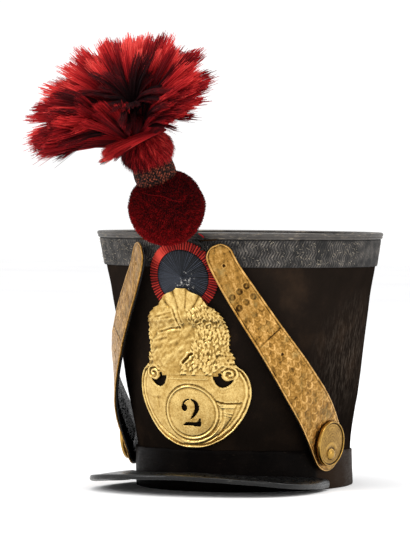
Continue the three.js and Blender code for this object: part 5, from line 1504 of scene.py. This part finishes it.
def front_locks(rng, root, right):
    """Start, way, side that it bends to, length and tone of each lock that lies before the burst."""
    near = unit(np.cross(right, (0, 0, 1.0)))
    rows = []
    for k, count in enumerate(FRONT_LOCKS["count"]):
        beside, above, before, turn, sway, toward, long, tone, _ = (float(column[k])
                                                                    for column in FRONT_LOCKS.values())
        for _ in range(int(count)):
            angle = math.radians(turn + rng.uniform(-sway, sway))
            start = root + right * (beside + rng.uniform(-5, 5)) * MM
            start = start + near * (before + rng.uniform(-2, 2)) * MM
            start = start + np.array((0, 0, above + rng.uniform(-3, 3))) * MM
            flat = right * math.cos(angle) + np.array((0, 0, math.sin(angle)))
            way = unit(flat * math.sqrt(1 - toward**2) + near * (toward + rng.uniform(-0.12, 0.12)))
            rows.append((start, way, near - np.array((0, 0, 0.8)), long * rng.uniform(0.82, 1.06),
                         tone + rng.uniform(-0.24, 0.24)))
    return [np.array(column) for column in zip(*rows)]


def plume():
    """The burst of the plume: long locks that lean out to a bowl, dark curled ones in it as a painted shade,
    some before it.
    """
    rng = np.random.default_rng(SEED + 40)
    root = POMPOM + PLUME_AXIS * PLUME_ROOT_RISE
    axis = unit(BURST_AXIS)
    right = np.array((math.cos(CAMERA_AZIMUTH), math.sin(CAMERA_AZIMUTH), 0))
    upper = unit(np.cross(np.cross(axis, right), axis))
    behind = np.cross(axis, upper)
    groups = []
    for rows in [long_locks(rng, layer) for layer in range(3)] + [curled_locks(rng)]:
        turn, lean, long, tone = (np.array(column)[:, None] for column in zip(*rows))
        aside = upper * np.cos(turn) + behind * np.sin(turn)
        way = axis * np.cos(lean) + aside * np.sin(lean)
        groups.append((root + way * 5 * MM - PLUME_AXIS * 3 * MM, way, aside, long, tone))
    start, way, aside, long, tone = groups[-1]
    groups[-1] = (start + axis * HOLLOW_RISE, way, aside, long, tone)
    groups.append(front_locks(rng, root, right))
    kinds = ((LOCK_BEND, LOCK, LOCK_HAIRS),) * 3 + ((LOCK_CURL, CURLED_LOCK, CURLED_LOCK_HAIRS),
                                                    (FRONT_LOCK_BEND, FRONT_LOCK, FRONT_LOCK_HAIRS))
    for layer, ((start, way, aside, long, tone), (bend, profile, hairs)) in enumerate(zip(groups, kinds)):
        cloud = bpy.data.meshes.new(f"plume_spots_{layer}")
        cloud.from_pydata(start.tolist(), [], [])
        for label, values, kind in (("way", way, "FLOAT_VECTOR"), ("down", aside, "FLOAT_VECTOR"),
                                    ("long", PLUME_LOCK_LENGTH * long, "FLOAT"), ("shade", tone, "FLOAT")):
            write_layer(cloud, label, values, kind)
        piece = new_object(f"plume_locks_{layer + 1}", cloud)
        locks = [lock(layer * 10 + n, bend * (0.8 + 0.13 * n), profile, hairs) for n in range(4)]
        grow(piece, lock_tree(f"plume_lock_tree_{layer}", PLUME_HAIR, locks), {"Seed": SEED + layer})
        for spare in locks:
            bpy.data.objects.remove(spare)
        tone_from_locks(piece)
        into_object(piece, "red_plume", *(["plume_head"] if layer == 0 else []))


def tone_from_locks(piece):
    """Each hair's tone: its own, added to that of the lock that it belongs to."""
    tone = read_layer(piece.data, "strand") + read_layer(piece.data, "lock_tone")
    write_layer(piece.data, "tone", np.clip(tone, 0, 1))


# Pieces whose solids have the right shape and get a finish

def worked_copy(name, label, slot, material, cuts, relief_at, rise):
    """A solid's own shape, merged and cut finer, with a relief raised on its faces."""
    shell = bmesh.new()
    shell.from_mesh(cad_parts[name].data)
    bmesh.ops.remove_doubles(shell, verts=shell.verts, dist=0.01 * MM)
    bmesh.ops.recalc_face_normals(shell, faces=shell.faces)
    bmesh.ops.subdivide_edges(shell, edges=shell.edges, cuts=cuts, use_grid_fill=True)
    shell.normal_update()
    points = np.array([v.co for v in shell.verts])
    ways = np.array([v.normal for v in shell.verts])
    mesh = bpy.data.meshes.new(label)
    shell.to_mesh(mesh)
    shell.free()
    relief = relief_at(points)
    mesh.vertices.foreach_set("co", (points + ways * (relief * rise)[:, None]).ravel())
    write_layer(mesh, "relief", relief)
    mesh.polygons.foreach_set("use_smooth", np.ones(len(mesh.polygons), bool))
    mesh.set_sharp_from_angle(angle=math.radians(42))
    made = new_object(label, mesh)
    made.data.materials.append(material)
    return into_object(made, slot, name)


def cord_turns(points):
    """Turns of cord laid side by side round a holder."""
    return np.abs(np.sin(math.pi * (points[:, 2] + 0.35 * points[:, 0]) / (2.3 * MM)))


def cord(name, places, radius, material, slot, tone):
    """A cord laid of three strands along a smooth line of places."""
    share = np.linspace(0, 1, len(places))
    rows = {"at": share, **{axis: np.array(places)[:, k] for k, axis in enumerate("xyz")}}
    stops = np.linspace(0, 1, 50)
    path = np.stack([smooth(rows, "at", stops, axis) for axis in "xyz"], -1)
    ahead = unit(np.gradient(path, axis=0))
    side = unit(np.cross(ahead, (0.31, 0.23, 0.92)))
    above = np.cross(ahead, side)
    run = run_along(path)
    angle = full_turn(12)
    lay = np.cos(3 * angle[None] - 2 * math.pi * run[:, None] / (3.5 * radius))
    size = radius * (1 + 0.16 * lay)
    points = path[:, None] + side[:, None] * (size * np.cos(angle))[..., None]
    points = points + above[:, None] * (size * np.sin(angle))[..., None]
    made = grid_object(name, points, material, round_v=True, caps=True,
                       layers={"relief": 0.5 + 0.5 * lay, "tone": tone + 0.1 * lay})
    return into_object(made, slot)


def plume_cords():
    """The ends of the black cord that ties the plume's foot, and loose red threads beside and on the ball."""
    top = CROWN_RING_TOP
    ties = (((1, -1, 4.6), (5, -2, 5.2), (8.5, -4, 5.4), (10.8, -6, 5.0), (11.4, -9, 4.6), (10.6, -12, 4.4)),
            ((3, -2, 4.6), (7, -4, 6.2), (11, -5, 5.2), (13, -8, 4.4), (13.4, -11, 4.2), (12.6, -14, 4.0)),
            ((-2, -4, 5.0), (3, -5, 6.0), (7, -7, 6.2), (9.6, -9, 5.0), (10, -12, 4.4), (9, -14, 4.2)))
    for k, rows in enumerate(ties):
        places = [wall(math.radians(turn), top + up * MM, out * MM) for turn, up, out in rows]
        cord(f"plume_tie_{k + 1}", places, 1.1 * MM, BLACK_CLOTH, "black_cloth", 0.5)
    loose = [wall(math.radians(turn), top + up * MM, out * MM)
             for turn, up, out in ((3, -2, 7), (5.6, 0.5, 8), (8, 0, 7.4), (10, -2.6, 6), (10.8, -6, 5))]
    cord("plume_red_thread", loose, 0.4 * MM, POMPOM_WOOL, "red_wool", 0.85)
    right = np.array((math.cos(CAMERA_AZIMUTH), math.sin(CAMERA_AZIMUTH), 0))
    near = np.array((math.sin(CAMERA_AZIMUTH), -math.cos(CAMERA_AZIMUTH), 0))
    reach = POMPOM_RADIUS + 0.2 * MM
    fibre = []
    for aside, up in ((-20, 12), (-12, 10), (-3, 9), (5, 6), (12, 5)):
        ahead = math.sqrt(reach**2 - (aside * MM) ** 2 - (up * MM) ** 2)
        fibre.append(POMPOM + right * aside * MM + near * ahead + np.array((0, 0, up * MM)))
    cord("pompom_loose_thread", fibre, 0.2 * MM, POMPOM_WOOL, "red_wool", 0.62)


def hide(points):
    """The faint swell of a leather lining."""
    return 0.5 + 0.5 * wobble(points, 6 * MM, 44)


def small_pieces():
    """The cord-bound holder of the plume and the straps' linings; the wire hooks keep their solids."""
    worked_copy("plume_socket", "plume_socket_cord", "black_cloth", BLACK_CLOTH, 5, cord_turns, 0.4 * MM)
    for word in ("left", "right"):
        worked_copy(f"strap_lining_{word}", f"strap_lining_{word}_leather", "black_leather",
                    LINING_LEATHER, 2, hide, 0.12 * MM)
        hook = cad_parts[f"strap_hook_{word}"]
        hook.data.materials.clear()
        hook.data.materials.append(OLD_BRASS)


# Camera, floor and light

CAMERA_ELEVATION = math.radians(1.213)
CAMERA_ROLL = math.radians(0.507)
CAMERA_DISTANCE = 3.361
CAMERA_ASIDE = -35.6 * MM
CAMERA_TARGET_HEIGHT = 180.6 * MM
CAMERA_LENS = 264.4
FLOOR_REACH = 9.0


def camera():
    flat = Vector((math.cos(CAMERA_AZIMUTH), math.sin(CAMERA_AZIMUTH), 0))
    ahead = Vector((-math.sin(CAMERA_AZIMUTH) * math.cos(CAMERA_ELEVATION),
                    math.cos(CAMERA_AZIMUTH) * math.cos(CAMERA_ELEVATION), -math.sin(CAMERA_ELEVATION)))
    above = flat.cross(ahead)
    right = flat * math.cos(CAMERA_ROLL) + above * math.sin(CAMERA_ROLL)
    up = right.cross(ahead)
    target = flat * CAMERA_ASIDE + Vector((0, 0, CAMERA_TARGET_HEIGHT))
    data = bpy.data.cameras.new("camera")
    data.lens = CAMERA_LENS
    made = new_object("camera", data)
    turned = Matrix((right, up, -ahead)).transposed().to_4x4()
    made.matrix_world = Matrix.Translation(target - ahead * CAMERA_DISTANCE) @ turned
    bpy.context.scene.camera = made


def floor():
    """A wide flat sheet of pale paper, so that the hat can be seen from every side."""
    reach = np.linspace(-FLOOR_REACH, FLOOR_REACH, 9)
    points = np.stack([*np.meshgrid(reach, reach, indexing="ij"), np.zeros((9, 9))], -1)
    sheet = grid_object("floor_paper", points, matt_paper())


def soft_light(name, place, size, power, colour):
    data = bpy.data.lights.new(name, "AREA")
    data.shape = "RECTANGLE"
    data.size, data.size_y = size
    data.energy = power
    data.color = linear(colour)[:3]
    made = new_object(name, data)
    made.location = place
    aim = Vector((0, -0.02, 0.14)) - Vector(place)
    made.rotation_euler = aim.to_track_quat("-Z", "Y").to_euler()


def studio():
    world = bpy.data.worlds.new("studio")
    bpy.context.scene.world = world
    world.use_nodes = True
    backdrop = world.node_tree.nodes["Background"]
    backdrop.inputs["Color"].default_value = linear(0xFFFFFF)
    backdrop.inputs["Strength"].default_value = 1.08
    soft_light("light_above", (0.1, -0.6, 2.4), (1.6, 1.6), 20, 0xFFFFFF)
    soft_light("light_right", (2.1, -1.0, 1.0), (0.8, 1.4), 10, 0xFFFAF2)
    soft_light("light_left", (-1.7, -1.9, 1.5), (0.8, 1.2), 30, 0xFFFFFF)
    soft_light("light_behind", (0.6, 2.0, 2.4), (2.2, 0.8), 14, 0xFFFFFF)
    bpy.context.scene.view_settings.view_transform = "Standard"


camera()
floor()
studio()
felt_body()
base_band()
galon()
galon_fibres()
crown_top()
crown_ring()
peak()
plate()
cockade_rim()
cockade_disc()
for word, sign in (("left", 1), ("right", -1)):
    strap_scales(sign, word)
    boss(word)
pompom()
turban()
collar()
bound_roots()
plume()
small_pieces()
plume_cords()
